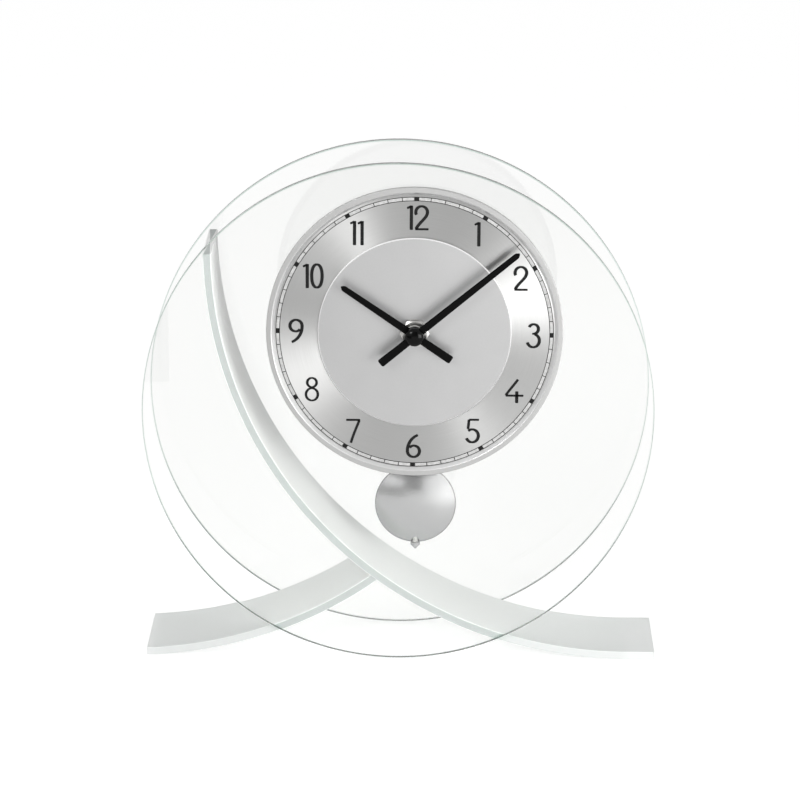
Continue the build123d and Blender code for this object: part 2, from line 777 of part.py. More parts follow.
def motor_core():
    """Iron core of the motor coil, lying on the stator's two arms."""
    half = coil_length / 2 + stator_arm_width
    return block(coil_at[0] - coil_core_width / 2, coil_at[0] + coil_core_width / 2,
                 coil_at[1] - half, coil_at[1] + half, core_front_y, core_front_y + coil_core_thickness)


def motor_bobbin():
    """Flanged plastic former that slides on the core."""
    y = core_front_y + coil_core_thickness / 2
    low = coil_at[1] - coil_length / 2
    high = coil_at[1] + coil_length / 2
    bobbin = upright(coil_former_radius, low, high, coil_at[0], y)
    bobbin += upright(coil_flange_radius, low, low + coil_flange_thickness, coil_at[0], y)
    bobbin += upright(coil_flange_radius, high - coil_flange_thickness, high, coil_at[0], y)
    return bobbin - block(coil_at[0] - coil_core_width / 2, coil_at[0] + coil_core_width / 2,
                          low - overrun, high + overrun, core_front_y, core_front_y + coil_core_thickness)


def motor_winding():
    """Copper winding of the motor coil."""
    y = core_front_y + coil_core_thickness / 2
    low = coil_at[1] - coil_length / 2 + coil_flange_thickness
    high = coil_at[1] + coil_length / 2 - coil_flange_thickness
    return upright(coil_winding_radius, low, high, coil_at[0], y) - upright(
        coil_former_radius, low - overrun, high + overrun, coil_at[0], y)


def battery():
    """Round cell with its raised positive end at the top."""
    cell = upright(cell_radius, cell_low_z, cell_low_z + cell_length, cell_x, cell_y)
    return cell + upright(cell_nub_radius, cell_low_z + cell_length, cell_low_z + cell_total, cell_x, cell_y)


def battery_contact(wall_z, inward):
    """Sprung plate with a pressed dimple that touches the end of the cell."""
    inner_z = wall_z + inward * contact_thickness
    plate = block(cell_x - contact_width / 2, cell_x + contact_width / 2, min(wall_z, inner_z),
                  max(wall_z, inner_z), shell_floor_y, shell_floor_y + 2 * cell_radius)
    tip_z = inner_z + inward * contact_dimple_height
    return plate + upright(contact_dimple_radius, min(inner_z, tip_z), max(inner_z, tip_z), cell_x, cell_y)


def circuit_board():
    """Circuit board on two posts, with its potted chip."""
    board = block(board_x - board_width / 2, board_x + board_width / 2, drive_z - board_height / 2,
                  drive_z + board_height / 2, board_front_y, board_back_y)
    chip_at = (board_x - board_width / 2 + 2 * chip_radius, drive_z - board_height / 4)
    return board + disc(chip_radius, board_back_y, board_back_y + chip_height, chip_at)


def quartz_crystal():
    """Small can of the quartz crystal lying on the board."""
    x = board_x - board_width / 2 + 2 * chip_radius
    low = drive_z + board_height / 4 - crystal_length / 2
    return upright(crystal_radius, low, low + crystal_length, x, board_back_y + crystal_radius)


def drive_bobbin():
    """Flat flanged former of the pendulum's drive coil."""
    at = (pendulum_x, drive_z)
    back = board_back_y + drive_coil_length
    bobbin = disc(drive_former_radius, board_back_y, back, at)
    bobbin += disc(drive_coil_radius, board_back_y, board_back_y + drive_flange_thickness, at)
    return bobbin + disc(drive_coil_radius, back - drive_flange_thickness, back, at)


def drive_winding():
    """Copper winding of the pendulum's drive coil."""
    return ring(drive_coil_radius - drive_winding_inset, drive_former_radius,
                board_back_y + drive_flange_thickness,
                board_back_y + drive_coil_length - drive_flange_thickness, (pendulum_x, drive_z))


def pendulum_pivot_pin():
    """Headed steel pin in the cover's boss."""
    at = (pendulum_x, pivot_z)
    pin = disc(pivot_pin_radius, shell_back_y, pin_head_y, at)
    return pin + disc(pivot_pin_head_radius, pin_head_y, pin_head_y + pivot_pin_head_length, at)


def pendulum_hanger():
    """Short plastic arm that swings on the pin, with the magnet's pocket and the hook peg."""
    at = (pendulum_x, pivot_z)
    hook = (pendulum_x, hook_z)
    drive = (pendulum_x, drive_z)
    hanger = disc(hanger_eye_radius, hanger_front_y, hanger_back_y, at)
    hanger += block(pendulum_x - hanger_width / 2, pendulum_x + hanger_width / 2, hook_z, pivot_z,
                    hanger_front_y, hanger_back_y)
    hanger += disc(hanger_width / 2, hanger_front_y, hanger_back_y, hook)
    hanger += disc(hanger_pad_radius, hanger_front_y, hanger_back_y, drive)
    hanger -= disc(pivot_pin_radius + running_clearance, hanger_front_y - overrun,
                   hanger_back_y + overrun, at)
    hanger -= disc(drive_magnet_radius, hanger_front_y - overrun,
                   hanger_front_y + drive_magnet_thickness - drive_magnet_proud, drive)
    return hanger + disc(hook_peg_radius, hanger_back_y, hanger_back_y + hook_peg_length, hook)


def drive_magnet():
    """Round magnet in the hanger, facing the drive coil."""
    front = hanger_front_y - drive_magnet_proud
    return disc(drive_magnet_radius, front, front + drive_magnet_thickness, (pendulum_x, drive_z))


def pendulum_rod():
    """Round rod with a flat eye that hangs on the hanger's peg."""
    hook = (pendulum_x, hook_z)
    eye = disc(rod_eye_radius, rod_front_y, rod_back_y, hook)
    rod = upright(rod_radius, rod_low_z, hook_z - hook_peg_radius - rod_radius, pendulum_x, rod_y)
    return eye + rod - disc(hook_peg_radius, rod_front_y - overrun, rod_back_y + overrun, hook)


def bob_shell(side):
    """One domed half of the bob; side is -1 for the front and 1 for the rear."""
    outer_radius = (bob_radius ** 2 + bob_dome_height ** 2) / (2 * bob_dome_height)
    inner_radius = outer_radius - bob_shell_thickness
    centre_y = rod_y - side * (outer_radius - bob_dome_height)
    low_y = min(rod_y, rod_y + side * (bob_dome_height + overrun))
    high_y = max(rod_y, rod_y + side * (bob_dome_height + overrun))
    half = disc(outer_radius, low_y, high_y, (pendulum_x, bob_z))
    dome = Pos(pendulum_x, centre_y, bob_z) * (Sphere(outer_radius) - Sphere(inner_radius))
    return (dome & half) - upright(guide_radius, bob_low_z - overrun, bob_z + bob_radius + overrun,
                                   pendulum_x, rod_y)


def bob_guide_tube():
    """Tube through the bob that slides on the rod."""
    top_z = bob_z + bob_radius
    return upright(guide_radius, bob_low_z, top_z, pendulum_x, rod_y) - upright(
        rod_radius + running_clearance, bob_low_z - overrun, top_z + overrun, pendulum_x, rod_y)


def rating_nut():
    """Fluted nut with a pointed end, under the bob on the rod."""
    low_z = rating_nut_top_z - rating_nut_height
    nut = upright(rating_nut_radius, low_z, rating_nut_top_z, pendulum_x, rod_y)
    for flute in range(rating_nut_flutes):
        angle = math.radians(flute * 360.0 / rating_nut_flutes)
        distance = rating_nut_radius + rating_nut_flute_radius * flute_sink_share
        nut -= upright(rating_nut_flute_radius, low_z - overrun, rating_nut_top_z + overrun,
                       pendulum_x + distance * math.cos(angle), rod_y + distance * math.sin(angle))
    point_top = rating_nut_radius - 2 * rating_nut_flute_radius
    point = Pos(pendulum_x, rod_y, low_z - rating_nut_point_height / 2) * Cone(
        rating_nut_point_radius, point_top, rating_nut_point_height)
    bore = upright(rod_radius + running_clearance, rating_nut_top_z - rating_nut_bore_depth,
                   rating_nut_top_z + overrun, pendulum_x, rod_y)
    return nut + point - bore


def build():
    """Make every piece and write it to its own file."""
    os.makedirs("parts", exist_ok=True)
    pieces = {
        "front_glass": pane(glass_front_y, True),
        "rear_glass": pane(rear_glass_y, False),
        "long_glass_strip": long_glass_strip(),
        "short_glass_strip": short_glass_strip(),
        "dial_bezel": dial_bezel(),
        "dial_plate": dial_plate(),
        "dial_centre_plate": dial_centre_plate(),
        "minute_hand": minute_hand(),
        "hour_hand": hour_hand(),
        "hand_cap": hand_cap(),
        "threaded_bushing": threaded_bushing(),
        "fixing_nut": fixing_nut(),
        "front_washer": ring(washer_radius, bushing_radius, washer_front_y, centre_front_y, hands_at),
        "rubber_washer": ring(rubber_radius, bushing_radius, glass_back_y, shell_front_y, hands_at),
        "movement_front_shell": movement_front_shell(),
        "movement_back_cover": movement_back_cover(),
        "cover_screws": cover_screws(),
        "train_bridge": train_bridge(),
        "minute_arbor": minute_arbor(),
        "hour_wheel": hour_wheel(),
        "minute_work_wheel": minute_work_wheel(),
        "setting_pinion": setting_pinion(),
        "setting_knob": setting_knob(),
        "centre_wheel": centre_wheel(),
        "clutch_spring": clutch_spring(),
        "third_wheel": third_wheel(),
        "fourth_wheel": fourth_wheel(),
        "fifth_wheel": fifth_wheel(),
        "rotor_pinion": rotor_pinion(),
        "rotor_magnet": rotor_magnet(),
        "motor_stator": motor_stator(),
        "motor_core": motor_core(),
        "motor_bobbin": motor_bobbin(),
        "motor_winding": motor_winding(),
        "battery": battery(),
        "negative_contact": battery_contact(bay_low, 1),
        "positive_contact": battery_contact(bay_high, -1),
        "circuit_board": circuit_board(),
        "quartz_crystal": quartz_crystal(),
        "drive_bobbin": drive_bobbin(),
        "drive_winding": drive_winding(),
        "pendulum_pivot_pin": pendulum_pivot_pin(),
        "pendulum_hanger": pendulum_hanger(),
        "drive_magnet": drive_magnet(),
        "pendulum_rod": pendulum_rod(),
        "bob_front_shell": bob_shell(-1),
        "bob_rear_shell": bob_shell(1),
        "bob_guide_tube": bob_guide_tube(),
        "rating_nut": rating_nut(),
    }
    for name, solid in pieces.items():
        save(name, solid)


build()
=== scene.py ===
"""Desk pendulum clock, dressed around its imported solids.

Every new piece is a surface worked out by a formula on a grid of two parameters. Sizes are
millimetres until a surface goes into its mesh, which is in metres. X runs to the right, Y to
the rear and Z up; the dial faces the front, towards minus Y.
"""
import logging
import math
from dataclasses import dataclass
from enum import Enum
from typing import Callable, Sequence

import bmesh
import bpy
import numpy as np
from mathutils import Matrix, Vector


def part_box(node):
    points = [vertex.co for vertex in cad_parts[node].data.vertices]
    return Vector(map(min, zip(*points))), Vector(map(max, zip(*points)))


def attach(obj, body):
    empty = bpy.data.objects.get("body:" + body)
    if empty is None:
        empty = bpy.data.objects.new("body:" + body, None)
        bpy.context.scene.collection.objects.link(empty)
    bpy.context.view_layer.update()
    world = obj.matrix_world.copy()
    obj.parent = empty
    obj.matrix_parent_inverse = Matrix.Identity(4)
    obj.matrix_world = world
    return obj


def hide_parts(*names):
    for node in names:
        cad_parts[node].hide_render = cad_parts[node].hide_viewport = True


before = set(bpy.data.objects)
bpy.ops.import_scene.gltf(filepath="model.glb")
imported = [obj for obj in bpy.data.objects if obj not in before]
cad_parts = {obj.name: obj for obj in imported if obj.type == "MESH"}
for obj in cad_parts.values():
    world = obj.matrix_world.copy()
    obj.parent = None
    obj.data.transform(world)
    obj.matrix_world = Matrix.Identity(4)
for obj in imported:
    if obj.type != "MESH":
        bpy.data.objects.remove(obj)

log = logging.getLogger("clock")

Array = np.ndarray
Colour = tuple[float, float, float]
Material = bpy.types.Material
Object = bpy.types.Object
Socket = bpy.types.NodeSocket

MM = 0.001
TURN = 2.0 * math.pi
ACROSS = np.array([1.0, 0.0, 1.0])
UPRIGHT = np.array([1.0, 1.0, 0.0])
# Smallest length in millimetres that a direction is divided by.
TINY = 1e-9
# Points this near in metres merge, and an edge this short counts as none.
WELD = 1e-7
FLAT_EDGE = 1e-8
# Angle between faces, in degrees, above which an edge stays sharp.
SHARP_ANGLE = 32.0
# Points on each straight run and each curve of a numeral, and degrees between points of an arc.
RUN_STEPS = 8
CURVE_STEPS = 24
ARC_STEP = 6


class Spindle(Enum):
    """Axis that a surface of revolution turns about."""

    ALONG_Y = "y"
    ALONG_Z = "z"


class Body(Enum):
    """Bodies of the clock that pieces ride on."""

    CASE = "case"
    MINUTE = "minute_body"
    HOUR = "hour_body"
    SETTING = "setting_body"
    BATTERY = "battery_body"
    PENDULUM = "pendulum_body"
    BOB = "bob_body"
    NUT = "nut_body"


@dataclass(frozen=True)
class Extent:
    """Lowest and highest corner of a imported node, in millimetres."""

    low: Array
    high: Array

    @classmethod
    def of(cls, node: str) -> "Extent":
        """Reads a node's corners from the frame.

        Args:
            node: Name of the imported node.

        Returns:
            The node's extent at rest.
        """
        low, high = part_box(node)
        return cls(np.array(low) / MM, np.array(high) / MM)

    @property
    def middle(self) -> Array:
        """Middle of the box."""
        return (self.low + self.high) / 2

    @property
    def size(self) -> Array:
        """Length of the box along X, Y and Z."""
        return self.high - self.low

    @property
    def axis(self) -> Array:
        """Middle of the box in X and Z, at Y zero."""
        return self.middle * ACROSS


def eased(corners: Array, reach: Array | float, steps: int = 5) -> Array:
    """Rounds the corners of a closed outline.

    Each corner c becomes a quadratic curve from c + reach * p to c + reach * q, with c as its
    middle control point, where p and q are the unit directions to the corners beside it.

    Args:
        corners: Corner points, one row each.
        reach: How far the rounding runs along the sides, for all corners or for each.
        steps: Points on each rounded corner.

    Returns:
        The rounded outline's points.
    """
    reach = np.broadcast_to(np.asarray(reach, float), (len(corners),))[:, None]
    back = np.roll(corners, 1, axis=0) - corners
    ahead = np.roll(corners, -1, axis=0) - corners
    start = corners + reach * back / np.linalg.norm(back, axis=1, keepdims=True)
    end = corners + reach * ahead / np.linalg.norm(ahead, axis=1, keepdims=True)
    share = np.linspace(0.0, 1.0, steps)[None, :, None]
    curve = ((1 - share) ** 2 * start[:, None] + 2 * share * (1 - share) * corners[:, None]
             + share ** 2 * end[:, None])
    return curve.reshape(-1, corners.shape[1])


def oblong(inner: float, outer: float, low: float, high: float) -> Array:
    """Corners of an oblong section, as rows of radius and depth."""
    return np.array([[inner, low], [outer, low], [outer, high], [inner, high]])


def around(steps: int, phase: float = 0.0) -> Array:
    """Evenly spaced angles of one full turn, the last one left out."""
    return phase + np.arange(steps) * TURN / steps


def spun(radii: Array, depths: Array, centre: Array, angle: Array,
         spindle: Spindle = Spindle.ALONG_Y) -> Array:
    """Surface around an axis.

    A point of a radius and a depth stands, at angle a, at the centre plus radius * (sin a, cos a)
    in the two directions across the spindle, and plus the depth along the spindle.

    Args:
        radii: Radius of each row, or of each row at each angle.
        depths: Depth of each row, or of each row at each angle.
        centre: Point that radii and depths are counted from, for all rows or for each.
        angle: Angles around the spindle.
        spindle: Axis that the surface turns about.

    Returns:
        Grid of points, one row for each radius.
    """
    radii, depths, angle = np.broadcast_arrays(radii, depths, angle)
    side, other = radii * np.sin(angle), radii * np.cos(angle)
    order = [side, depths, other] if spindle is Spindle.ALONG_Y else [other, side, depths]
    return np.stack(order, axis=-1) + centre


def revolved(profile: Array, centre: Array, steps: int, spindle: Spindle = Spindle.ALONG_Y) -> Array:
    """Surface of revolution of a profile, given as rows of radius and depth."""
    return spun(profile[:, :1], profile[:, 1:], centre, around(steps), spindle)


def layered(outline: Array, depths: Sequence[float], insets: Sequence[float]) -> Array:
    """Stack of copies of a flat outline, each drawn in towards its inner side.

    A point of a layer is the outline's point minus the inset times the outline's outward normal,
    at the layer's depth. The normal is the tangent turned by a quarter.

    Args:
        outline: Points in X and Z, anticlockwise as seen from the front.
        depths: Y of each layer.
        insets: Inset of each layer.

    Returns:
        Grid of points, one row for each layer.
    """
    tangent = np.roll(outline, -1, axis=0) - np.roll(outline, 1, axis=0)
    length = np.maximum(np.linalg.norm(tangent, axis=1, keepdims=True), TINY)
    normal = np.stack([tangent[:, 1], -tangent[:, 0]], axis=1) / length
    rows = [np.column_stack([outline[:, 0] - inset * normal[:, 0],
                             np.full(len(outline), depth),
                             outline[:, 1] - inset * normal[:, 1]])
            for depth, inset in zip(depths, insets)]
    return np.stack(rows)


class Shape:
    """Surface of one piece, gathered from grids of points."""

    def __init__(self, name: str) -> None:
        """Starts a surface without points.

        Args:
            name: Name of the mesh and of its object.
        """
        self.name = name
        self.points: list[Array] = []
        self.faces: list[Array] = []
        self.numbers: list[Array] = []
        self.maps: list[Array] = []
        self.count = 0

    def grid(self, points: Array, rows_close: bool = False, turn_closes: bool = False,
             finish: int | Array = 0, flat_map: Array | None = None) -> "Shape":
        """Adds a grid of points and the four-sided faces between neighbours.

        Args:
            points: Rows by columns by three.
            rows_close: Whether the last row joins the first.
            turn_closes: Whether the last column joins the first.
            finish: Material number of all faces, or an array that spreads over the faces' grid.
            flat_map: Flat coordinates of each point, rows by columns by two.

        Returns:
            The shape itself.
        """
        rows, columns = points.shape[:2]
        index = self.count + np.arange(rows * columns).reshape(rows, columns)
        if rows_close:
            index = np.vstack([index, index[:1]])
        if turn_closes:
            index = np.hstack([index, index[:, :1]])
        quads = np.stack([index[:-1, :-1], index[1:, :-1], index[1:, 1:], index[:-1, 1:]], axis=-1)
        across = np.broadcast_to(finish, quads.shape[:2])
        self.points.append(points.reshape(-1, 3))
        self.faces.append(quads.reshape(-1, 4))
        self.numbers.append(across.reshape(-1))
        flat = np.zeros((rows, columns, 2)) if flat_map is None else flat_map
        self.maps.append(flat.reshape(-1, 2))
        self.count += rows * columns
        return self

    def closed(self, points: Array, finish: int | Array = 0) -> "Shape":
        """Adds a grid that closes both ways, such as a ring."""
        return self.grid(points, rows_close=True, turn_closes=True, finish=finish)

    def closed_stack(self, points: Array, finish: int | Array = 0) -> "Shape":
        """Adds rings of points, closed around the turn and by a fan at both ends."""
        first, last = (np.broadcast_to(ring.mean(axis=0), ring.shape)[None] for ring in points[[0, -1]])
        return self.grid(np.concatenate([first, points, last]), turn_closes=True, finish=finish)

    def mesh(self, sharp: float = SHARP_ANGLE) -> bpy.types.Mesh:
        """Puts the gathered surfaces into a mesh.

        Points that coincide are merged, so seams and poles close, and faces are turned outwards.

        Args:
            sharp: Angle between faces, in degrees, above which an edge stays sharp.

        Returns:
            The finished mesh.
        """
        faces = np.concatenate(self.faces)
        mesh = bpy.data.meshes.new(self.name)
        mesh.from_pydata((np.concatenate(self.points) * MM).tolist(), [], faces.tolist())
        mesh.polygons.foreach_set("material_index", np.concatenate(self.numbers).astype(np.int32))
        layer = mesh.uv_layers.new(name="flat")
        layer.data.foreach_set("uv", np.concatenate(self.maps)[faces.ravel()].astype(np.float32).ravel())
        work = bmesh.new()
        work.from_mesh(mesh)
        bmesh.ops.remove_doubles(work, verts=work.verts, dist=WELD)
        bmesh.ops.dissolve_degenerate(work, edges=work.edges, dist=FLAT_EDGE)
        bmesh.ops.recalc_face_normals(work, faces=work.faces)
        work.to_mesh(mesh)
        work.free()
        mesh.shade_smooth()
        mesh.set_sharp_from_angle(angle=math.radians(sharp))
        return mesh

    def piece(self, body: Body, slot: str, finishes: Sequence[Material],
              replaces: Sequence[str] = (), sharp: float = SHARP_ANGLE) -> Object:
        """Makes the object and mounts it; edges above the sharp angle, in degrees, stay sharp."""
        return mounted(bpy.data.objects.new(self.name, self.mesh(sharp)), body, slot, finishes, replaces)


def mounted(piece: Object, body: Body, slot: str, finishes: Sequence[Material],
            replaces: Sequence[str] = ()) -> Object:
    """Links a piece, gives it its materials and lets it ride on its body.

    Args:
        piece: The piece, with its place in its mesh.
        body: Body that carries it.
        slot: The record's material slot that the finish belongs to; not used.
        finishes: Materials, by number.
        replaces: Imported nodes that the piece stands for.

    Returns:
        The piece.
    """
    bpy.context.scene.collection.objects.link(piece)
    for finish in finishes:
        piece.data.materials.append(finish)
    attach(piece, body.value)
    if replaces:
        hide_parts(*replaces)
    log.info("%s rides on %s with %d faces", piece.name, body.value, len(piece.data.polygons))
    return piece


class Nodes:
    """Node tree of a material or a world, with short calls for the nodes that the clock uses."""

    def __init__(self, owner: Material | bpy.types.World, output: str) -> None:
        """Empties the owner's tree and adds its output.

        Args:
            owner: Material or world that owns the tree.
            output: Kind of the tree's output node.
        """
        owner.use_nodes = True
        self.tree = owner.node_tree
        self.tree.nodes.clear()
        self.output = self.add(output)

    def feed(self, target: Socket, value: object) -> None:
        """Links an output to a socket, or sets the socket's own value; a colour gets its alpha.

        Args:
            target: Socket that takes the value.
            value: Output socket, number, vector or colour.
        """
        if isinstance(value, Socket):
            self.tree.links.new(value, target)
        else:
            target.default_value = (*value, 1.0) if target.type == "RGBA" else value

    def add(self, kind: str, feeds: dict[str | int, object] | None = None,
            **settings: object) -> bpy.types.Node:
        """Adds a node, sets its properties and feeds its inputs, which go by name or number.

        Args:
            kind: Kind of the node.
            feeds: What each input takes.
            **settings: Properties of the node.

        Returns:
            The new node.
        """
        node = self.tree.nodes.new(kind)
        for name, value in settings.items():
            setattr(node, name, value)
        for name, value in (feeds or {}).items():
            self.feed(node.inputs[name], value)
        return node

    def show(self, source: Socket) -> None:
        """Makes a shader the one that the surface shows."""
        self.feed(self.output.inputs["Surface"], source)

    def show_mix(self, share: Socket, first: Socket, second: Socket) -> None:
        """Shows one shader where the share is 0 and another where it is 1."""
        self.show(self.add("ShaderNodeMixShader", {0: share, 1: first, 2: second}).outputs["Shader"])

    def math(self, operation: str, first: Socket, second: float | Socket) -> Socket:
        """Result of a calculation with two values."""
        return self.add("ShaderNodeMath", {0: first, 1: second}, operation=operation).outputs[0]

    def seen(self) -> Socket:
        """1 for rays from the camera, and for those that metal and glass send on.

        Returns:
            Output that is 0 or 1.
        """
        path = self.add("ShaderNodeLightPath").outputs
        metal = self.math("MAXIMUM", path["Is Camera Ray"], path["Is Glossy Ray"])
        return self.math("MAXIMUM", metal, path["Is Transmission Ray"])


class Graph(Nodes):
    """Node tree of one material, around one main shader."""

    def __init__(self, name: str) -> None:
        """Makes the material, which shows one main shader.

        Args:
            name: Name of the material.
        """
        self.material = bpy.data.materials.new(name)
        super().__init__(self.material, "ShaderNodeOutputMaterial")
        self.shader = self.add("ShaderNodeBsdfPrincipled")
        self.show(self.shader.outputs["BSDF"])

    def settings(self, **values: object) -> None:
        """Sets sockets of the main shader; underscores in a name stand for spaces."""
        for name, value in values.items():
            self.feed(self.shader.inputs[name.replace("_", " ")], value)

    def glassy(self, cast: Colour, depth_colour: Colour, density: float) -> None:
        """Lets the lamps' rays pass tinted, and tints what goes a long way through the body.

        Args:
            cast: Tint of the light that reaches the shadow.
            depth_colour: Colour that the body's depth gives.
            density: How fast it gives it, per metre.
        """
        self.show_mix(self.add("ShaderNodeLightPath").outputs["Is Shadow Ray"], self.shader.outputs["BSDF"],
                      self.add("ShaderNodeBsdfTransparent", {"Color": cast}).outputs["BSDF"])
        depth = self.add("ShaderNodeVolumeAbsorption", {"Color": depth_colour, "Density": density})
        self.feed(self.output.inputs["Volume"], depth.outputs["Volume"])

    def place(self, centre: Array | None = None,
              scale: tuple[float, float, float] = (1.0, 1.0, 1.0)) -> Socket:
        """Object coordinates, centred on a point in millimetres, and scaled.

        Args:
            centre: Point that becomes zero.
            scale: Factors along X, Y and Z.

        Returns:
            Output with the coordinates, in metres times the scale.
        """
        source = self.add("ShaderNodeTexCoord").outputs["Object"]
        if centre is not None:
            source = self.add("ShaderNodeVectorMath", {0: source, 1: tuple(np.asarray(centre) * MM)},
                              operation="SUBTRACT").outputs[0]
        return self.add("ShaderNodeMapping", {"Vector": source, "Scale": scale}).outputs["Vector"]

    def noise(self, vector: Socket, scale: float, detail: float = 3.0, rough: float = 0.5) -> Socket:
        """Noise from 0 to 1 over a vector."""
        return self.add("ShaderNodeTexNoise", {"Vector": vector, "Scale": scale, "Detail": detail,
                                               "Roughness": rough}).outputs["Fac"]

    def spread(self, value: Socket, low: float, high: float, start: float = 0.3, end: float = 0.7) -> Socket:
        """Maps a value from start..end onto low..high, clamped."""
        return self.add("ShaderNodeMapRange", {"Value": value, "From Min": start, "From Max": end,
                                               "To Min": low, "To Max": high}).outputs["Result"]

    def blend(self, share: Socket, first: Colour | Socket, second: Colour) -> Socket:
        """Colour between two colours."""
        return self.add("ShaderNodeMix", {"Factor": share, "A": first, "B": second},
                        data_type="RGBA").outputs["Result"]

    def varied(self, value: Socket, level: float, share: float) -> Socket:
        """Number that a value moves about its level, by a share of it to either side."""
        return self.spread(value, level * (1 - share), level * (1 + share))

    def mottled(self, value: Socket, colour: Colour, share: float) -> Socket:
        """Colour that a value darkens and lightens, by a share of it to either side."""
        return self.blend(self.spread(value, 0.0, 1.0), shaded(colour, 1 - share), shaded(colour, 1 + share))

    def rising(self, lower: Colour, upper: Colour, start: float, end: float) -> Socket:
        """Colour that goes from one to another between two heights in millimetres."""
        height = self.add("ShaderNodeSeparateXYZ", {0: self.place()}).outputs["Z"]
        return self.blend(self.spread(height, 0.0, 1.0, start * MM, end * MM), lower, upper)

    def bump(self, height: Socket, strength: float, distance: float) -> None:
        """Feeds the shader's normal with a bump; the distance is in millimetres.

        Args:
            height: Output that gives the height.
            strength: Share of the bump that is applied.
            distance: Height that a value of 1 stands for.
        """
        node = self.add("ShaderNodeBump", {"Height": height, "Strength": strength,
                                           "Distance": distance * MM})
        self.feed(self.shader.inputs["Normal"], node.outputs["Normal"])


def shaded(colour: Colour, factor: float) -> Colour:
    """Colour multiplied by a factor, kept within 1."""
    return tuple(min(1.0, channel * factor) for channel in colour)


@dataclass(frozen=True)
class ClearGlass:
    """Polished float glass, with a faint tint through its depth; on the rims a tint that goes from darker
    below to lighter above is painted shade and light.
    """

    name: str
    tint: Colour = (1.0, 1.0, 1.0)
    upper_tint: Colour | None = None
    roughness: float = 0.0
    upper_start: float = 60.0
    upper_end: float = 220.0
    refraction: float = 1.5
    specular: float = 0.35
    cast: float = 0.96
    depth_colour: Colour = (0.78, 0.87, 0.83)
    depth_density: float = 2.5
    wave_scale: float = 22.0
    wave_detail: float = 1.0
    wave_strength: float = 0.02
    wave_height: float = 0.4

    def material(self) -> Material:
        """Builds the glass; rays from lamps pass it, so that it casts only a light shadow.

        Returns:
            The finished material.
        """
        graph = Graph(self.name)
        tint = self.tint
        # A tint that lightens from the lower to the upper height is painted shade and light, not a change in
        # the glass.
        if self.upper_tint is not None:
            tint = graph.rising(self.tint, self.upper_tint, self.upper_start, self.upper_end)
        graph.settings(Base_Color=tint, Roughness=self.roughness, IOR=self.refraction,
                       Transmission_Weight=1.0, Specular_IOR_Level=self.specular)
        wave = graph.noise(graph.place(), self.wave_scale, self.wave_detail)
        graph.bump(wave, self.wave_strength, self.wave_height)
        graph.glassy(shaded(self.tint, self.cast), self.depth_colour, self.depth_density)
        return graph.material


@dataclass(frozen=True)
class SatinGlass:
    """Glass with an etched, silky surface: light passes, but nothing behind it stays sharp."""

    name: str
    colour: Colour
    upper_colour: Colour
    upper_start: float = 30.0
    upper_end: float = 160.0
    transmission: float = 0.25
    refraction: float = 1.5
    roughness: float = 0.45
    frost_scale: float = 1500.0
    frost_share: float = 0.08
    frost_strength: float = 0.08
    frost_height: float = 0.01
    cast: float = 0.8
    depth_colour: Colour = (0.75, 0.86, 0.80)
    depth_density: float = 5.0
    bonded_colour: Colour | None = None
    bond_centre: tuple[float, float, float] = (0.0, 0.0, 0.0)
    bond_radius: float = 0.0

    def tone(self, graph: Graph) -> Socket:
        """Colour that lightens with the height, which is painted light over the dial's shade on the upper
        strips, and that darkens where the glass is bonded, which is painted shade.

        The bond is told by the distance from the panes' axis, in the plane of X and Z.

        Args:
            graph: Node tree that the nodes go into.

        Returns:
            Output with the colour.
        """
        # Painted light: the strip's colour lightens from its feet to the upper height, where the dial shades
        # it.
        free = graph.rising(self.colour, self.upper_colour, self.upper_start, self.upper_end)
        if self.bonded_colour is None:
            return free
        from_axis = graph.place(np.array(self.bond_centre), tuple(ACROSS))
        reach = graph.add("ShaderNodeVectorMath", {0: from_axis}, operation="LENGTH").outputs["Value"]
        # Painted shade: where the edge is bonded to a pane it gets a darker colour, against the extra light
        # it gets through the pane.
        return graph.blend(graph.math("LESS_THAN", reach, self.bond_radius * MM), free, self.bonded_colour)

    def material(self) -> Material:
        """Builds the etched glass, with fine frost in its roughness and its height.

        Returns:
            The finished material.
        """
        graph = Graph(self.name)
        frost = graph.noise(graph.place(), self.frost_scale)
        graph.settings(Base_Color=self.tone(graph), Transmission_Weight=self.transmission,
                       IOR=self.refraction,
                       Roughness=graph.varied(frost, self.roughness, self.frost_share))
        graph.bump(frost, self.frost_strength, self.frost_height)
        graph.glassy(shaded(self.colour, self.cast), self.depth_colour, self.depth_density)
        return graph.material


@dataclass(frozen=True)
class CircularBrush:
    """Aluminium brushed in circles: fine grooves run round, and highlights spread outwards."""

    name: str
    colour: Colour = (0.495, 0.495, 0.49)
    roughness: float = 0.36
    roughness_spread: float = 0.03
    anisotropy: float = 0.9
    grooves: tuple[float, float, float] = (5.0, 3.0, 1.0)
    groove_detail: float = 5.0
    groove_rough: float = 0.6
    groove_strength: float = 0.05
    groove_depth: float = 0.01
    shift: float = 0.05

    def material(self) -> Material:
        """Builds the brushed metal; the piece's flat map holds the radius and the angle.

        Returns:
            The finished material.
        """
        graph = Graph(self.name)
        flat = graph.add("ShaderNodeUVMap", uv_map="flat").outputs["UV"]
        fine = graph.add("ShaderNodeMapping", {"Vector": flat, "Scale": self.grooves}).outputs["Vector"]
        groove = graph.noise(fine, 1.0, self.groove_detail, self.groove_rough)
        graph.settings(Metallic=1.0, Anisotropic=self.anisotropy, Anisotropic_Rotation=0.0,
                       Base_Color=graph.mottled(groove, self.colour, self.shift),
                       Roughness=graph.spread(groove, self.roughness - self.roughness_spread,
                                              self.roughness + self.roughness_spread))
        tangent = graph.add("ShaderNodeTangent", direction_type="UV_MAP", uv_map="flat")
        graph.settings(Tangent=tangent.outputs["Tangent"])
        graph.bump(groove, self.groove_strength, self.groove_depth)
        return graph.material


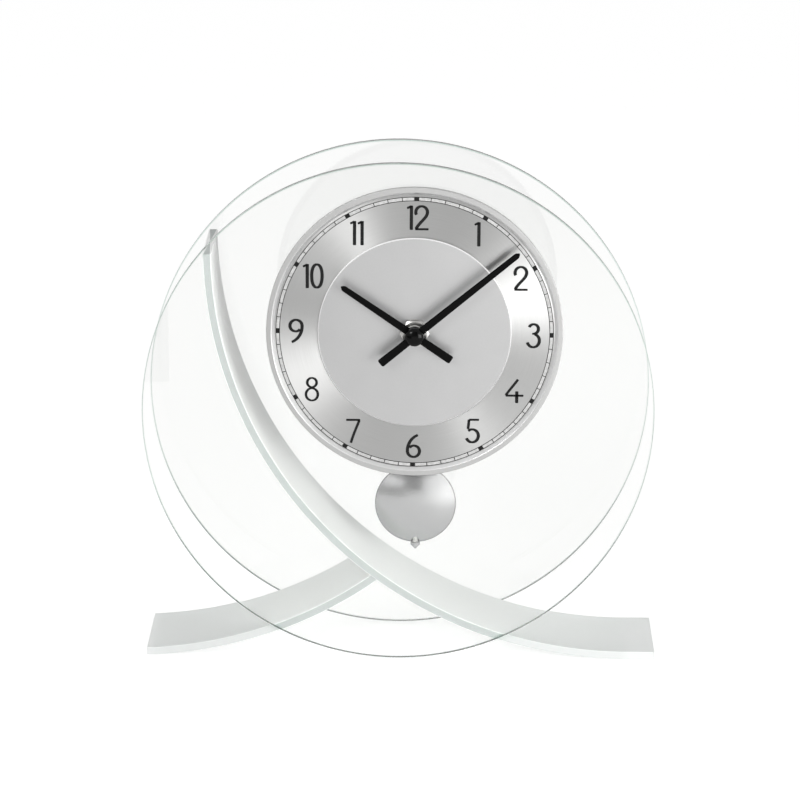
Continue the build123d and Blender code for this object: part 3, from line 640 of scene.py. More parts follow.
@dataclass(frozen=True)
class Grained:
    """Solid surface with fine grain in its height and gloss, and a faint cloudiness."""

    name: str
    colour: Colour
    roughness: float = 0.4
    specular: float = 0.5
    metallic: float = 0.0
    scatter: float = 0.0
    scatter_radius: tuple[float, float, float] = (0.002, 0.002, 0.0015)
    grain: float = 700.0
    grain_detail: float = 2.0
    grain_rough: float = 0.5
    grain_share: float = 0.1
    grain_strength: float = 0.1
    grain_height: float = 0.01
    cloud: float = 700.0
    cloud_detail: float = 2.0
    cloud_share: float = 0.15

    def material(self) -> Material:
        """Builds the surface, with grain in roughness and height and clouds in its colour.

        Returns:
            The finished material.
        """
        graph = Graph(self.name)
        place = graph.place()
        grain = graph.noise(place, self.grain, self.grain_detail, self.grain_rough)
        cloud = graph.noise(place, self.cloud, self.cloud_detail)
        graph.settings(Metallic=self.metallic, Specular_IOR_Level=self.specular,
                       Subsurface_Weight=self.scatter, Subsurface_Radius=self.scatter_radius,
                       Base_Color=graph.mottled(cloud, self.colour, self.cloud_share),
                       Roughness=graph.varied(grain, self.roughness, self.grain_share))
        graph.bump(grain, self.grain_strength, self.grain_height)
        return graph.material


@dataclass(frozen=True)
class Lacquer(Grained):
    """Thin printed or sprayed lacquer with a faint orange-peel."""


@dataclass(frozen=True)
class SatinMetal(Grained):
    """Metal with a fine blasted, spun or plated surface."""

    roughness: float = 0.35
    metallic: float = 1.0
    grain: float = 900.0
    grain_strength: float = 0.12
    grain_height: float = 0.004
    cloud: float = 25.0
    cloud_detail: float = 3.0
    cloud_share: float = 0.03


@dataclass(frozen=True)
class Moulded(Grained):
    """Moulded plastic or rubber with a fine eroded texture and faint flow marks."""

    roughness: float = 0.5
    grain: float = 1600.0
    grain_detail: float = 4.0
    grain_rough: float = 0.6
    grain_share: float = 0.12
    grain_strength: float = 0.35
    grain_height: float = 0.03
    cloud: float = 40.0
    cloud_share: float = 0.08


@dataclass(frozen=True)
class Winding:
    """Enamelled wire in close turns, seen as fine bands along Z."""

    name: str
    colour: Colour = (0.60, 0.22, 0.08)
    # Painted shade: share of the colour left in the grooves between turns.
    groove_shade: float = 0.55
    metallic: float = 0.85
    roughness: float = 0.32
    pitch: float = 0.12
    wave_length: float = 0.314
    turns_per_wave: float = 2.0
    wire_height: float = 0.05
    wire_strength: float = 0.5

    def material(self) -> Material:
        """Builds the wire: bands of the wire's pitch in height, and in colour as painted shade that darkens
        the grooves between turns.

        Returns:
            The finished material.
        """
        graph = Graph(self.name)
        scale = self.wave_length / (self.pitch * MM) / self.turns_per_wave
        height = graph.add("ShaderNodeTexWave", {"Vector": graph.place(), "Scale": scale},
                           wave_type="BANDS", bands_direction="Z", wave_profile="SIN").outputs["Fac"]
        graph.settings(Metallic=self.metallic, Roughness=self.roughness,
                       Base_Color=graph.blend(height, shaded(self.colour, self.groove_shade), self.colour))
        graph.bump(height, self.wire_strength, self.wire_height)
        return graph.material


class Palette:
    """All finishes of the clock, each made once."""

    def __init__(self) -> None:
        """Makes the materials."""
        pane = Extent.of("front_glass")
        edge = (0.75, 0.765, 0.758)
        self.pane = ClearGlass("pane_glass", (0.955, 0.957, 0.952)).material()
        # Both rims are one glass: their different tints, darker low down and lighter higher up, are painted
        # shade and light.
        self.front_rim = ClearGlass("front_pane_rim", (0.78, 0.80, 0.79), (0.86, 0.86, 0.85), 0.2).material()
        self.rear_rim = ClearGlass("rear_pane_rim", (0.68, 0.70, 0.69), (0.985, 0.985, 0.98), 0.2).material()
        # The strip's lighter upper colour is painted light.
        self.strip = SatinGlass("etched_strip_glass", (0.85, 0.865, 0.855), (0.985, 0.99, 0.985)).material()
        # The strip edge's darker bonded colour is painted shade.
        self.strip_edge = SatinGlass("etched_strip_edge", edge, edge, transmission=0.15,
                                     bonded_colour=(0.445, 0.474, 0.470), bond_centre=tuple(pane.middle),
                                     bond_radius=pane.size[0] / 2).material()
        self.brushed = CircularBrush("circular_brushed_aluminium").material()
        self.dial_back = Lacquer("pale_back_coat", (0.88, 0.88, 0.87), 0.5).material()
        self.bezel = SatinMetal("satin_bezel", (0.47, 0.47, 0.465), 0.5).material()
        self.lip = SatinMetal("bright_lip", (0.74, 0.74, 0.74), 0.38).material()
        self.centre = SatinMetal("satin_centre_plate", (0.49, 0.49, 0.49), 0.45).material()
        self.bevel = SatinMetal("bright_bevel", (0.92, 0.92, 0.92), 0.4).material()
        self.bob = SatinMetal("satin_bob", (0.50, 0.50, 0.505), 0.25, grain=3000.0,
                              grain_height=0.0005).material()
        self.rim = SatinMetal("bob_rim", (0.22, 0.22, 0.22), 0.35).material()
        self.nickel = SatinMetal("bright_nickel", (0.50, 0.495, 0.48), 0.3, grain=400.0).material()
        self.steel = SatinMetal("zinc_plated_steel", (0.60, 0.60, 0.58), 0.28).material()
        self.magnet = SatinMetal("plated_magnet", (0.48, 0.48, 0.49), 0.2).material()
        self.hands = Lacquer("black_hand_lacquer", (0.002, 0.002, 0.002), 0.45, 0.06).material()
        self.cap = Lacquer("black_cap_lacquer", (0.002, 0.002, 0.002), 0.16, 0.12).material()
        self.ink = Lacquer("black_dial_ink", (0.006, 0.006, 0.006), 0.6, 0.2).material()
        self.track = Lacquer("pale_track_print", (0.47, 0.47, 0.465), 0.5, 0.3).material()
        self.shell = Moulded("black_case_plastic", (0.022, 0.022, 0.024), 0.5).material()
        self.knob = Moulded("grey_knob_plastic", (0.30, 0.31, 0.32), 0.45).material()
        self.natural = Moulded("natural_gear_plastic", (0.80, 0.79, 0.73), 0.38, scatter=0.15).material()
        self.rubber = Moulded("black_rubber", (0.018, 0.018, 0.018), 0.75).material()
        self.copper = Winding("copper_winding").material()
        self.wrap = Lacquer("cell_wrap", (0.03, 0.12, 0.08), 0.3).material()
        self.band = SatinMetal("cell_foil_band", (0.70, 0.66, 0.52), 0.3).material()
        self.board = Lacquer("green_solder_mask", (0.02, 0.16, 0.06), 0.3).material()


@dataclass
class GlassStand:
    """Two round panes and the two bent strips that carry them."""

    palette: Palette
    bend_radius: float = 233.215
    foot_flat: float = 127.0
    foot_end: float = 1.0
    foot_steps: int = 5
    short_low_point: float = 150.0
    ground_cut: float = 0.5
    edge_inset: float = 1.8
    bond_gap: float = 0.1
    film: float = 0.06
    arris: float = 0.55
    strip_arris: float = 0.4
    end_arris: float = 0.12
    edge_faces: tuple[int, int] = (3, 11)
    hole_radius: float = 5.6
    pane_steps: int = 512
    strip_steps: int = 160

    def __post_init__(self) -> None:
        """Reads the panes, the strips and the shaft from the frame."""
        self.front = Extent.of("front_glass")
        self.rear = Extent.of("rear_glass")
        self.long = Extent.of("long_glass_strip")
        self.short = Extent.of("short_glass_strip")
        self.shaft = Extent.of("minute_arbor").middle
        self.radius = self.front.size[0] / 2
        self.thickness = self.front.size[1]
        self.centre = self.front.middle[[0, 2]]
        self.bend_centre = np.array([self.centre[0] + self.foot_flat, self.bend_radius])
        self.strip_thickness = self.long_foot_thickness()

    def long_foot_thickness(self) -> float:
        """Thickness of the strips, read as the long strip's height at its foot's end."""
        points = np.array([v.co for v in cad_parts["long_glass_strip"].data.vertices]) / MM
        return float(points[points[:, 0] > self.long.high[0] - self.foot_end][:, 2].max())

    def pane(self, name: str, extent: Extent, node: str, hole: bool) -> Object:
        """Round pane with polished arrises.

        The section runs from the axis, or from the shaft's hole, out over the front face, round
        the rim and back. The hole's circles are centred on the shaft and the rim's on the pane.

        Args:
            name: Name of the piece.
            extent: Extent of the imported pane.
            node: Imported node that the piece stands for.
            hole: Whether the shaft goes through it, as it does through the front pane.

        Returns:
            The mounted pane.
        """
        inner = self.hole_radius if hole else 0.0
        corners = oblong(inner, self.radius, 0.0, self.thickness)
        section = eased(corners, [0.0, self.arris, self.arris, 0.0])
        middle = extent.axis + [0.0, extent.low[1], 0.0]
        near_axis = (section[:, 0] <= inner + TINY)[:, None, None]
        centres = middle + np.where(near_axis, (self.shaft - middle) * ACROSS, 0.0)
        following = np.roll(section[:, 0], -1)
        rim = np.minimum(section[:, 0], following) >= self.radius - self.arris - TINY
        shape = Shape(name).closed(revolved(section, centres, self.pane_steps), rim[:, None].astype(int))
        # The rim's glass carries the painted shade and light of its tint.
        ground = self.palette.front_rim if hole else self.palette.rear_rim
        return shape.piece(Body.CASE, "clear_glass", [self.palette.pane, ground], [node], sharp=3.0)

    def section(self) -> tuple[Array, Array]:
        """Section of a strip: offsets through its thickness, and depths from front to rear.

        Returns:
            Offsets and depths of the section's points, in order.
        """
        front, rear = self.front.high[1] + self.film, self.rear.low[1] - self.film
        outline = eased(oblong(0.0, self.strip_thickness, front, rear), self.strip_arris, 4)
        return outline[:, 0], outline[:, 1]

    def swept(self, angles: Callable[[Array], tuple[Array, Array]], offsets: Array, depths: Array,
              centre: Array, side: float) -> Array:
        """Grid of a strip bent to one radius.

        A point at offset u is at the bend's centre plus (radius - u) * (side * sin b, -cos b),
        where b runs from the first to the last angle of that offset.

        Args:
            angles: First and last angle for an array of offsets.
            offsets: Offsets through the thickness, from the outer face.
            depths: Y of each point of the section.
            centre: Centre of the bend, in X and Z.
            side: 1 where the strip climbs to the right and -1 to the left.

        Returns:
            Grid of points, one row for each step along the strip.
        """
        first, last = angles(offsets)
        share = np.linspace(0.0, 1.0, self.strip_steps)[:, None]
        angle = first + share * (last - first)
        radius = self.bend_radius - offsets
        x = centre[0] + side * radius * np.sin(angle)
        z = centre[1] - radius * np.cos(angle)
        return np.stack([x, np.broadcast_to(depths, x.shape), z], axis=-1)

    def long_strip(self) -> Object:
        """Long strip: its flat foot, then one sweep up to the panes' edge on the left.

        The tip is cut square where the outer face, at radius r, meets the circle of radius e
        about the panes' centre: with d the way between the centres, cos(b - g) is
        (d^2 + r^2 - e^2) / (2 r d), where g is the direction of that way.

        Returns:
            The mounted strip.
        """
        offsets, depths = self.section()
        centre = self.bend_centre
        way = centre - self.centre
        reach = self.radius - self.edge_inset

        def tip(offset: Array) -> tuple[Array, Array]:
            """First and last angle of the sweep, the same through the whole thickness.

            Args:
                offset: Offsets through the thickness, from the outer face.

            Returns:
                First and last angle for each offset.
            """
            radius = self.bend_radius
            cosine = (way @ way + radius ** 2 - reach ** 2) / (2 * radius * np.linalg.norm(way))
            last = math.atan2(way[0], way[1]) + math.acos(cosine)
            return np.zeros_like(offset), np.full_like(offset, last)

        bend = self.swept(tip, offsets, depths, centre, -1.0)
        share = np.linspace(0.0, 1.0, self.foot_steps, endpoint=False)[:, None]
        x = self.long.high[0] + share * (centre[0] - self.long.high[0])
        foot = np.stack(np.broadcast_arrays(x, depths, offsets), axis=-1)
        return self.strip("long_strip", np.concatenate([foot, bend]), "long_glass_strip")

    def short_strip(self) -> Object:
        """Short strip: its ground foot, then up to the long strip's underside.

        The foot is cut flat, so no point lies under the ground. At the top, the point at radius r
        meets the long strip's outer circle.

        Returns:
            The mounted strip.
        """
        offsets, depths = self.section()
        centre = np.array([self.centre[0] - self.short_low_point, self.bend_radius - self.ground_cut])
        way = centre - self.bend_centre
        reach = self.bend_radius + self.bond_gap

        def ends(offset: Array) -> tuple[Array, Array]:
            """First and last angle of each offset's sweep.

            Args:
                offset: Offsets through the thickness, from the outer face.

            Returns:
                First and last angle for each offset.
            """
            radius = self.bend_radius - offset
            first = np.arcsin((self.short.low[0] - centre[0]) / radius)
            level = (way @ way + radius ** 2 - reach ** 2) / (2 * radius)
            last = np.arcsin(level / np.linalg.norm(way)) - math.atan2(way[1], -way[0])
            return first, last

        grid = self.swept(ends, offsets, depths, centre, 1.0)
        grid[..., 2] = np.maximum(grid[..., 2], 0.0)
        return self.strip("short_strip", grid, "short_glass_strip")

    def strip(self, name: str, grid: Array, node: str) -> Object:
        """Strip from its swept grid, with a small arris round both ends.

        Args:
            name: Name of the piece.
            grid: Rows of the section's points along the strip.
            node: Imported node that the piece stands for.

        Returns:
            The mounted strip.
        """
        drawn_in = self.end_arris / self.strip_thickness
        first, last = (end + (end.mean(axis=0) - end) * drawn_in for end in grid[[0, -1]])
        rows = np.concatenate([first[None], grid, last[None]])
        finish = np.zeros(rows.shape[1], int)
        # Faces of the section that lie at the strip's front and rear edge.
        finish[list(self.edge_faces)] = 1
        shape = Shape(name).closed_stack(rows, finish)
        return shape.piece(Body.CASE, "strip_glass", [self.palette.strip, self.palette.strip_edge], [node],
                           sharp=4.0)

    def build(self) -> None:
        """Makes the whole stand."""
        self.pane("front_pane", self.front, "front_glass", True)
        self.pane("rear_pane", self.rear, "rear_glass", False)
        self.long_strip()
        self.short_strip()


@dataclass(frozen=True)
class Stroke:
    """One pen stroke of a numeral: its centreline, and how heavy it is."""

    line: Array
    heavy: float = 1.0

    @staticmethod
    def straight(*points: tuple[float, float]) -> Array:
        """Points along straight runs, close enough together for an even ribbon.

        Args:
            *points: Corners of the runs, in order.

        Returns:
            Points as rows of x and z.
        """
        knots = np.array(points, float)
        share = np.linspace(0.0, len(knots) - 1.0, RUN_STEPS * (len(knots) - 1) + 1)
        return np.column_stack([np.interp(share, np.arange(len(knots)), knots[:, axis]) for axis in (0, 1)])

    @staticmethod
    def arc(centre: tuple[float, float], radii: tuple[float, float], start: float, end: float,
            square: float = 2.0, shrink: float = 1.0) -> Array:
        """Points of a superellipse: radius * sign(c) * |c|^(2 / square), for cosine and sine.

        The radius is drawn in by 1 + (shrink - 1) * q^3, with q the share of the way.

        Args:
            centre: Middle of the curve.
            radii: Radius along x and along z.
            start: First angle, in degrees from the x axis.
            end: Last angle, in degrees.
            square: Power of the superellipse: 2 for an ellipse, more for a squarer curve.
            shrink: Share of the radius that is left at the end.

        Returns:
            Points as rows of x and z.
        """
        angle = np.radians(np.linspace(start, end, max(RUN_STEPS, int(abs(end - start) / ARC_STEP))))
        trig = np.column_stack([np.cos(angle), np.sin(angle)])
        drawn_in = 1.0 + (shrink - 1.0) * np.linspace(0.0, 1.0, len(trig))[:, None] ** 3
        return np.array(centre) + drawn_in * np.array(radii) * np.sign(trig) * np.abs(trig) ** (2.0 / square)

    @staticmethod
    def curve(*controls: tuple[float, float]) -> Array:
        """Points of a cubic curve with four control points.

        Args:
            *controls: The four control points, in order.

        Returns:
            Points as rows of x and z.
        """
        share = np.linspace(0.0, 1.0, CURVE_STEPS)[:, None]
        a, b, c, d = (np.array(point, float) for point in controls)
        return ((1 - share) ** 3 * a + 3 * (1 - share) ** 2 * share * b + 3 * (1 - share) * share ** 2 * c
                + share ** 3 * d)


@dataclass
class Numerals:
    """Plain upright numerals, drawn as pen strokes with thinner level parts."""

    scale: float = 1.06
    upright_width: float = 1.8
    level_width: float = 1.2
    height: float = 0.05
    gap: tuple[tuple[int, float], ...] = ((10, 0.6), (11, -0.15), (12, 0.2))
    round_tip: float = 0.45
    tip_steps: int = 5
    joined_within: float = 0.2
    places: tuple[tuple[float, float], ...] = (
        (33.0, 54.8), (57.3, 30.6), (64.4, -1.3), (54.6, -32.5), (32.1, -55.3), (-0.2, -64.1),
        (-33.2, -56.0), (-55.7, -32.5), (-64.3, 0.1), (-55.4, 30.9), (-31.9, 54.9), (1.3, 63.6))

    def digit(self, number: int) -> list[Stroke]:
        """Strokes of one digit, about its own middle.

        Args:
            number: Digit from 0 to 9.

        Returns:
            Its strokes, before they are scaled.
        """
        arc, curve, straight = Stroke.arc, Stroke.curve, Stroke.straight
        six = np.concatenate([curve((2.3, 5.85), (-0.8, 4.6), (-3.1, 1.5), (-3.1, -2.6)),
                              arc((0.05, -2.75), (3.15, 3.15), 180, 500, shrink=0.86)[1:]])
        strokes: dict[int, list[Stroke]] = {
            0: [Stroke(arc((0, 0), (2.65, 6.0), 90, 450, 2.25))],
            1: [Stroke(straight((0.0, 6.3), (0.0, -6.45)), 1.02),
                Stroke(curve((-2.3, 4.9), (-1.5, 5.1), (-0.6, 5.6), (0.0, 6.0)), 0.85)],
            2: [Stroke(np.concatenate([
                arc((0.0, 2.85), (2.95, 3.05), 208, -28),
                curve((2.55, 1.2), (1.5, -0.9), (-1.5, -3.0), (-2.85, -5.9))[1:]])),
                Stroke(straight((-3.3, -6.0), (3.65, -6.0)))],
            3: [Stroke(arc((-0.1, 3.5), (2.45, 2.5), 160, -88)),
                Stroke(straight((-0.9, 1.0), (0.3, 1.0)), 0.9),
                Stroke(arc((-0.2, -2.65), (3.1, 3.45), 82, -166))],
            4: [Stroke(curve((1.9, 6.2), (0.1, 3.6), (-2.6, 0.4), (-4.4, -2.35)), 0.85),
                Stroke(straight((-4.5, -2.45), (4.8, -2.45))),
                Stroke(straight((1.3, -0.1), (1.3, -6.45)))],
            5: [Stroke(straight((-2.1, 6.0), (3.2, 6.0))),
                Stroke(curve((-2.0, 6.1), (-2.2, 4.2), (-2.3, 2.6), (-2.5, 1.0)), 0.85),
                Stroke(arc((-0.3, -2.6), (3.15, 3.45), 132, -160))],
            6: [Stroke(six)],
            7: [Stroke(straight((-3.6, 6.0), (3.75, 6.0))),
                Stroke(curve((3.3, 5.9), (1.9, 2.2), (0.0, -2.2), (-1.1, -6.4)), 0.82)],
            8: [Stroke(arc((0.0, 3.55), (2.4, 2.45), 90, 450), 0.82),
                Stroke(arc((0.0, -2.75), (3.05, 3.25), 90, 450), 0.82)],
            9: [Stroke(-six)],
        }
        return strokes[number]

    def half_width(self, number: int) -> tuple[float, float]:
        """How far a digit reaches to the left and to the right of its middle.

        Args:
            number: Digit from 0 to 9.

        Returns:
            Reach to the left and to the right, in millimetres.
        """
        lines = self.scale * np.concatenate([stroke.line for stroke in self.digit(number)])
        side = self.upright_width / 2
        return side - lines[:, 0].min(), side + lines[:, 0].max()

    def ribbon(self, stroke: Stroke, shift: float) -> Array:
        """Raised ribbon along a stroke.

        The half width is level + (upright - level) * |sin d|, where d is the stroke's direction.
        Near the ends it falls by the superellipse (1 - q^3)^(1/3), with q the way past the end's
        start, which rounds the tips.

        Args:
            stroke: Stroke to draw.
            shift: How far its digit stands to the right of the numeral's middle.

        Returns:
            Grid with columns (x, z, height), one row for each step along the stroke.
        """
        line = self.scale * stroke.line + np.array([shift, 0.0])
        tangent = np.gradient(line, axis=0)
        tangent /= np.maximum(np.linalg.norm(tangent, axis=1, keepdims=True), TINY)
        steps = np.linalg.norm(np.diff(line, axis=0), axis=1)
        along = np.concatenate([[0.0], np.cumsum(steps)])
        half = 0.5 * stroke.heavy * (self.level_width
                                     + (self.upright_width - self.level_width) * np.abs(tangent[:, 1]))
        if np.linalg.norm(line[0] - line[-1]) > self.joined_within:
            tip, end = self.round_tip, along[-1]
            fine = np.concatenate([np.linspace(0.0, tip, self.tip_steps),
                                   along[(along > tip) & (along < end - tip)],
                                   np.linspace(end - tip, end, self.tip_steps)])
            line, tangent = (np.column_stack([np.interp(fine, along, rows[:, axis]) for axis in (0, 1)])
                             for rows in (line, tangent))
            past = np.clip(1.0 - np.minimum(fine, end - fine) / tip, 0.0, 1.0)
            half = np.interp(fine, along, half) * (1.0 - past ** 3) ** (1.0 / 3.0)
        normal = np.column_stack([-tangent[:, 1], tangent[:, 0]])
        left, right = line + normal * half[:, None], line - normal * half[:, None]
        level = np.ones((len(line), 1))
        return np.stack([np.hstack([side, height * level]) for side, height in (
            (left, 0.0), (left, self.height), (right, self.height), (right, 0.0))], axis=1)

    def shape(self, hour: int, centre: Array, surface: float) -> Shape:
        """Shape of an hour's numeral.

        Args:
            hour: Hour from 1 to 12.
            centre: Middle of the numeral, in X and Z.
            surface: Y of the plate that it is printed on.

        Returns:
            The raised numeral.
        """
        digits = [int(letter) for letter in str(hour)]
        reaches = [self.half_width(number) for number in digits]
        gap = dict(self.gap).get(hour, 0.0)
        total = sum(left + right for left, right in reaches) + gap * (len(digits) - 1)
        shape = Shape(f"numeral_{hour}")
        start = -total / 2
        for number, (left, right) in zip(digits, reaches):
            for stroke in self.digit(number):
                ribbon = self.ribbon(stroke, start + left)
                points = np.stack([centre[0] + ribbon[..., 0], surface - ribbon[..., 2],
                                   centre[1] + ribbon[..., 1]], axis=-1)
                shape.grid(points, turn_closes=True)
            start += left + right + gap
        return shape


@dataclass
class Dial:
    """Bezel, brushed plate, minute track, numerals and centre plate."""

    palette: Palette
    numerals: Numerals
    track_inner: float = 73.25
    track_outer: float = 75.25
    print_turn: float = 0.5
    print_drop: float = 0.4
    line_width: float = 0.36
    tick_width: float = 0.4
    block_width: float = 2.7
    block_rise: float = 1.5
    print_height: float = 0.04
    flat_width: float = 2.7
    lip_overlap: float = 0.8
    lip_gap: float = 0.02
    edge: float = 0.25
    rim_edge: float = 0.35
    back_edge: float = 0.15
    lip_edge: float = 0.05
    chamfer: float = 0.6
    bore: float = 5.2
    glass_gap: float = 0.05
    steps: int = 360
    sector_steps: int = 4

    def __post_init__(self) -> None:
        """Reads the bezel and both plates from the frame."""
        self.bezel_box = Extent.of("dial_bezel")
        self.plate_box = Extent.of("dial_plate")
        self.centre_box = Extent.of("dial_centre_plate")
        self.middle = self.plate_box.axis
        self.print_middle = self.middle - np.array([0.0, 0.0, self.print_drop])

    def bezel(self) -> Object:
        """Flat satin ring and the bright lip that slopes in from it.

        Returns:
            The mounted bezel.
        """
        radius, seat = self.bezel_box.size[0] / 2, self.plate_box.size[0] / 2
        front, back = self.bezel_box.low[1], self.bezel_box.high[1]
        lip_back = self.plate_box.low[1] - self.lip_gap
        corners = np.array([[radius - self.flat_width, front], [radius, front], [radius, back],
                            [seat, back], [seat, lip_back], [seat - self.lip_overlap, lip_back]])
        section = eased(corners, [self.edge, self.rim_edge, self.back_edge, 0.0, 0.0, self.lip_edge])
        finish = np.zeros((len(section), 1), int)
        # The lip is the slope in from the flat, with half of the rounding at each of its ends.
        finish[-3:] = finish[:2] = 1
        shape = Shape("bezel_ring").closed(revolved(section, self.middle, self.steps), finish)
        return shape.piece(Body.CASE, "satin_aluminium", [self.palette.bezel, self.palette.lip],
                           ["dial_bezel"], sharp=5.0)

    def plate(self) -> Object:
        """Brushed plate; its flat map has the radius along U and the angle along V.

        Returns:
            The mounted plate.
        """
        radius = self.plate_box.size[0] / 2
        front, back = self.plate_box.low[1], self.plate_box.high[1] - self.glass_gap
        section = np.array([[self.bore, front], [self.centre_box.size[0] / 2, front],
                            [self.track_inner, front], [radius, front], [radius, back], [self.bore, back],
                            [self.bore, front]])
        angle = np.linspace(0.0, TURN, self.steps + 1)
        grid = spun(section[:, :1], section[:, 1:], self.middle, angle)
        travel = np.cumsum(np.concatenate([[0.0], np.linalg.norm(np.diff(section, axis=0), axis=1)]))
        flat_map = np.stack(np.broadcast_arrays(travel[:, None], angle), axis=-1)
        # The last two faces of the section are the back and the bore.
        finish = np.array([0, 0, 0, 0, 1, 1])[:, None]
        shape = Shape("chapter_ring").grid(grid, flat_map=flat_map, finish=finish)
        return shape.piece(Body.CASE, "brushed_aluminium", [self.palette.brushed, self.palette.dial_back],
                           ["dial_plate"], sharp=25.0)

    def centre_plate(self) -> Object:
        """Raised satin plate with a bright bevelled edge.

        Returns:
            The mounted plate.
        """
        radius = self.centre_box.size[0] / 2
        front, back = self.centre_box.low[1], self.centre_box.high[1]
        section = np.array([[self.bore, front], [radius - self.chamfer, front],
                            [radius, front + self.chamfer], [radius, back], [self.bore, back]])
        # The section's second face is the bevel.
        finish = np.array([0, 1, 0, 0, 0])[:, None]
        shape = Shape("centre_plate").closed(revolved(section, self.middle, self.steps), finish)
        return shape.piece(Body.CASE, "matt_silver", [self.palette.centre, self.palette.bevel],
                           ["dial_centre_plate"], sharp=20.0)

    def raised(self, inner: float, outer: float, height: float) -> Array:
        """Section of print between two radii, as rows of radius and depth."""
        plate = self.plate_box.low[1]
        return np.array([[inner, plate], [inner, plate - height], [outer, plate - height], [outer, plate]])

    def sectors(self, shape: Shape, count: int, width: float, height: float) -> None:
        """Adds evenly spaced raised sectors across the track.

        Args:
            shape: Shape that takes the sectors.
            count: Sectors in a turn, the first one at twelve.
            width: Width of a sector at the track's inner circle.
            height: Height above the plate.
        """
        section = self.raised(self.track_inner, self.track_outer, height)
        half = width / 2 / self.track_inner
        for middle in around(count, math.radians(self.print_turn)):
            angle = np.linspace(middle - half, middle + half, self.sector_steps)[:, None]
            shape.closed_stack(spun(section[:, 0], section[:, 1], self.print_middle, angle))

    def ring(self, shape: Shape, inner: float, outer: float, height: float) -> None:
        """Adds a raised full ring."""
        shape.closed(revolved(self.raised(inner, outer, height), self.print_middle, self.steps))

    def track(self) -> None:
        """Pale band, its two thin circles, a tick at each minute and a block at each hour."""
        band, lines, blocks = Shape("track_band"), Shape("minute_track"), Shape("hour_blocks")
        self.ring(band, self.track_inner, self.track_outer, self.print_height / 2)
        band.piece(Body.CASE, "brushed_aluminium", [self.palette.track])
        half = self.line_width / 2
        for radius in (self.track_inner, self.track_outer):
            self.ring(lines, radius - half, radius + half, self.print_height)
        self.sectors(lines, 60, self.tick_width, self.print_height)
        self.sectors(blocks, 12, self.block_width, self.print_height * self.block_rise)
        for shape in (lines, blocks):
            shape.piece(Body.CASE, "black_lacquer", [self.palette.ink])

    def build(self) -> None:
        """Makes the whole dial."""
        self.bezel()
        self.plate()
        self.centre_plate()
        self.track()
        for hour, place in enumerate(self.numerals.places, start=1):
            centre = self.middle[[0, 2]] + np.array(place)
            shape = self.numerals.shape(hour, centre, self.plate_box.low[1])
            shape.piece(Body.CASE, "black_lacquer", [self.palette.ink])


@dataclass(frozen=True)
class HandSize:
    """Sizes of one hand."""

    length: float
    tail: float
    angle: float
    collar: bool


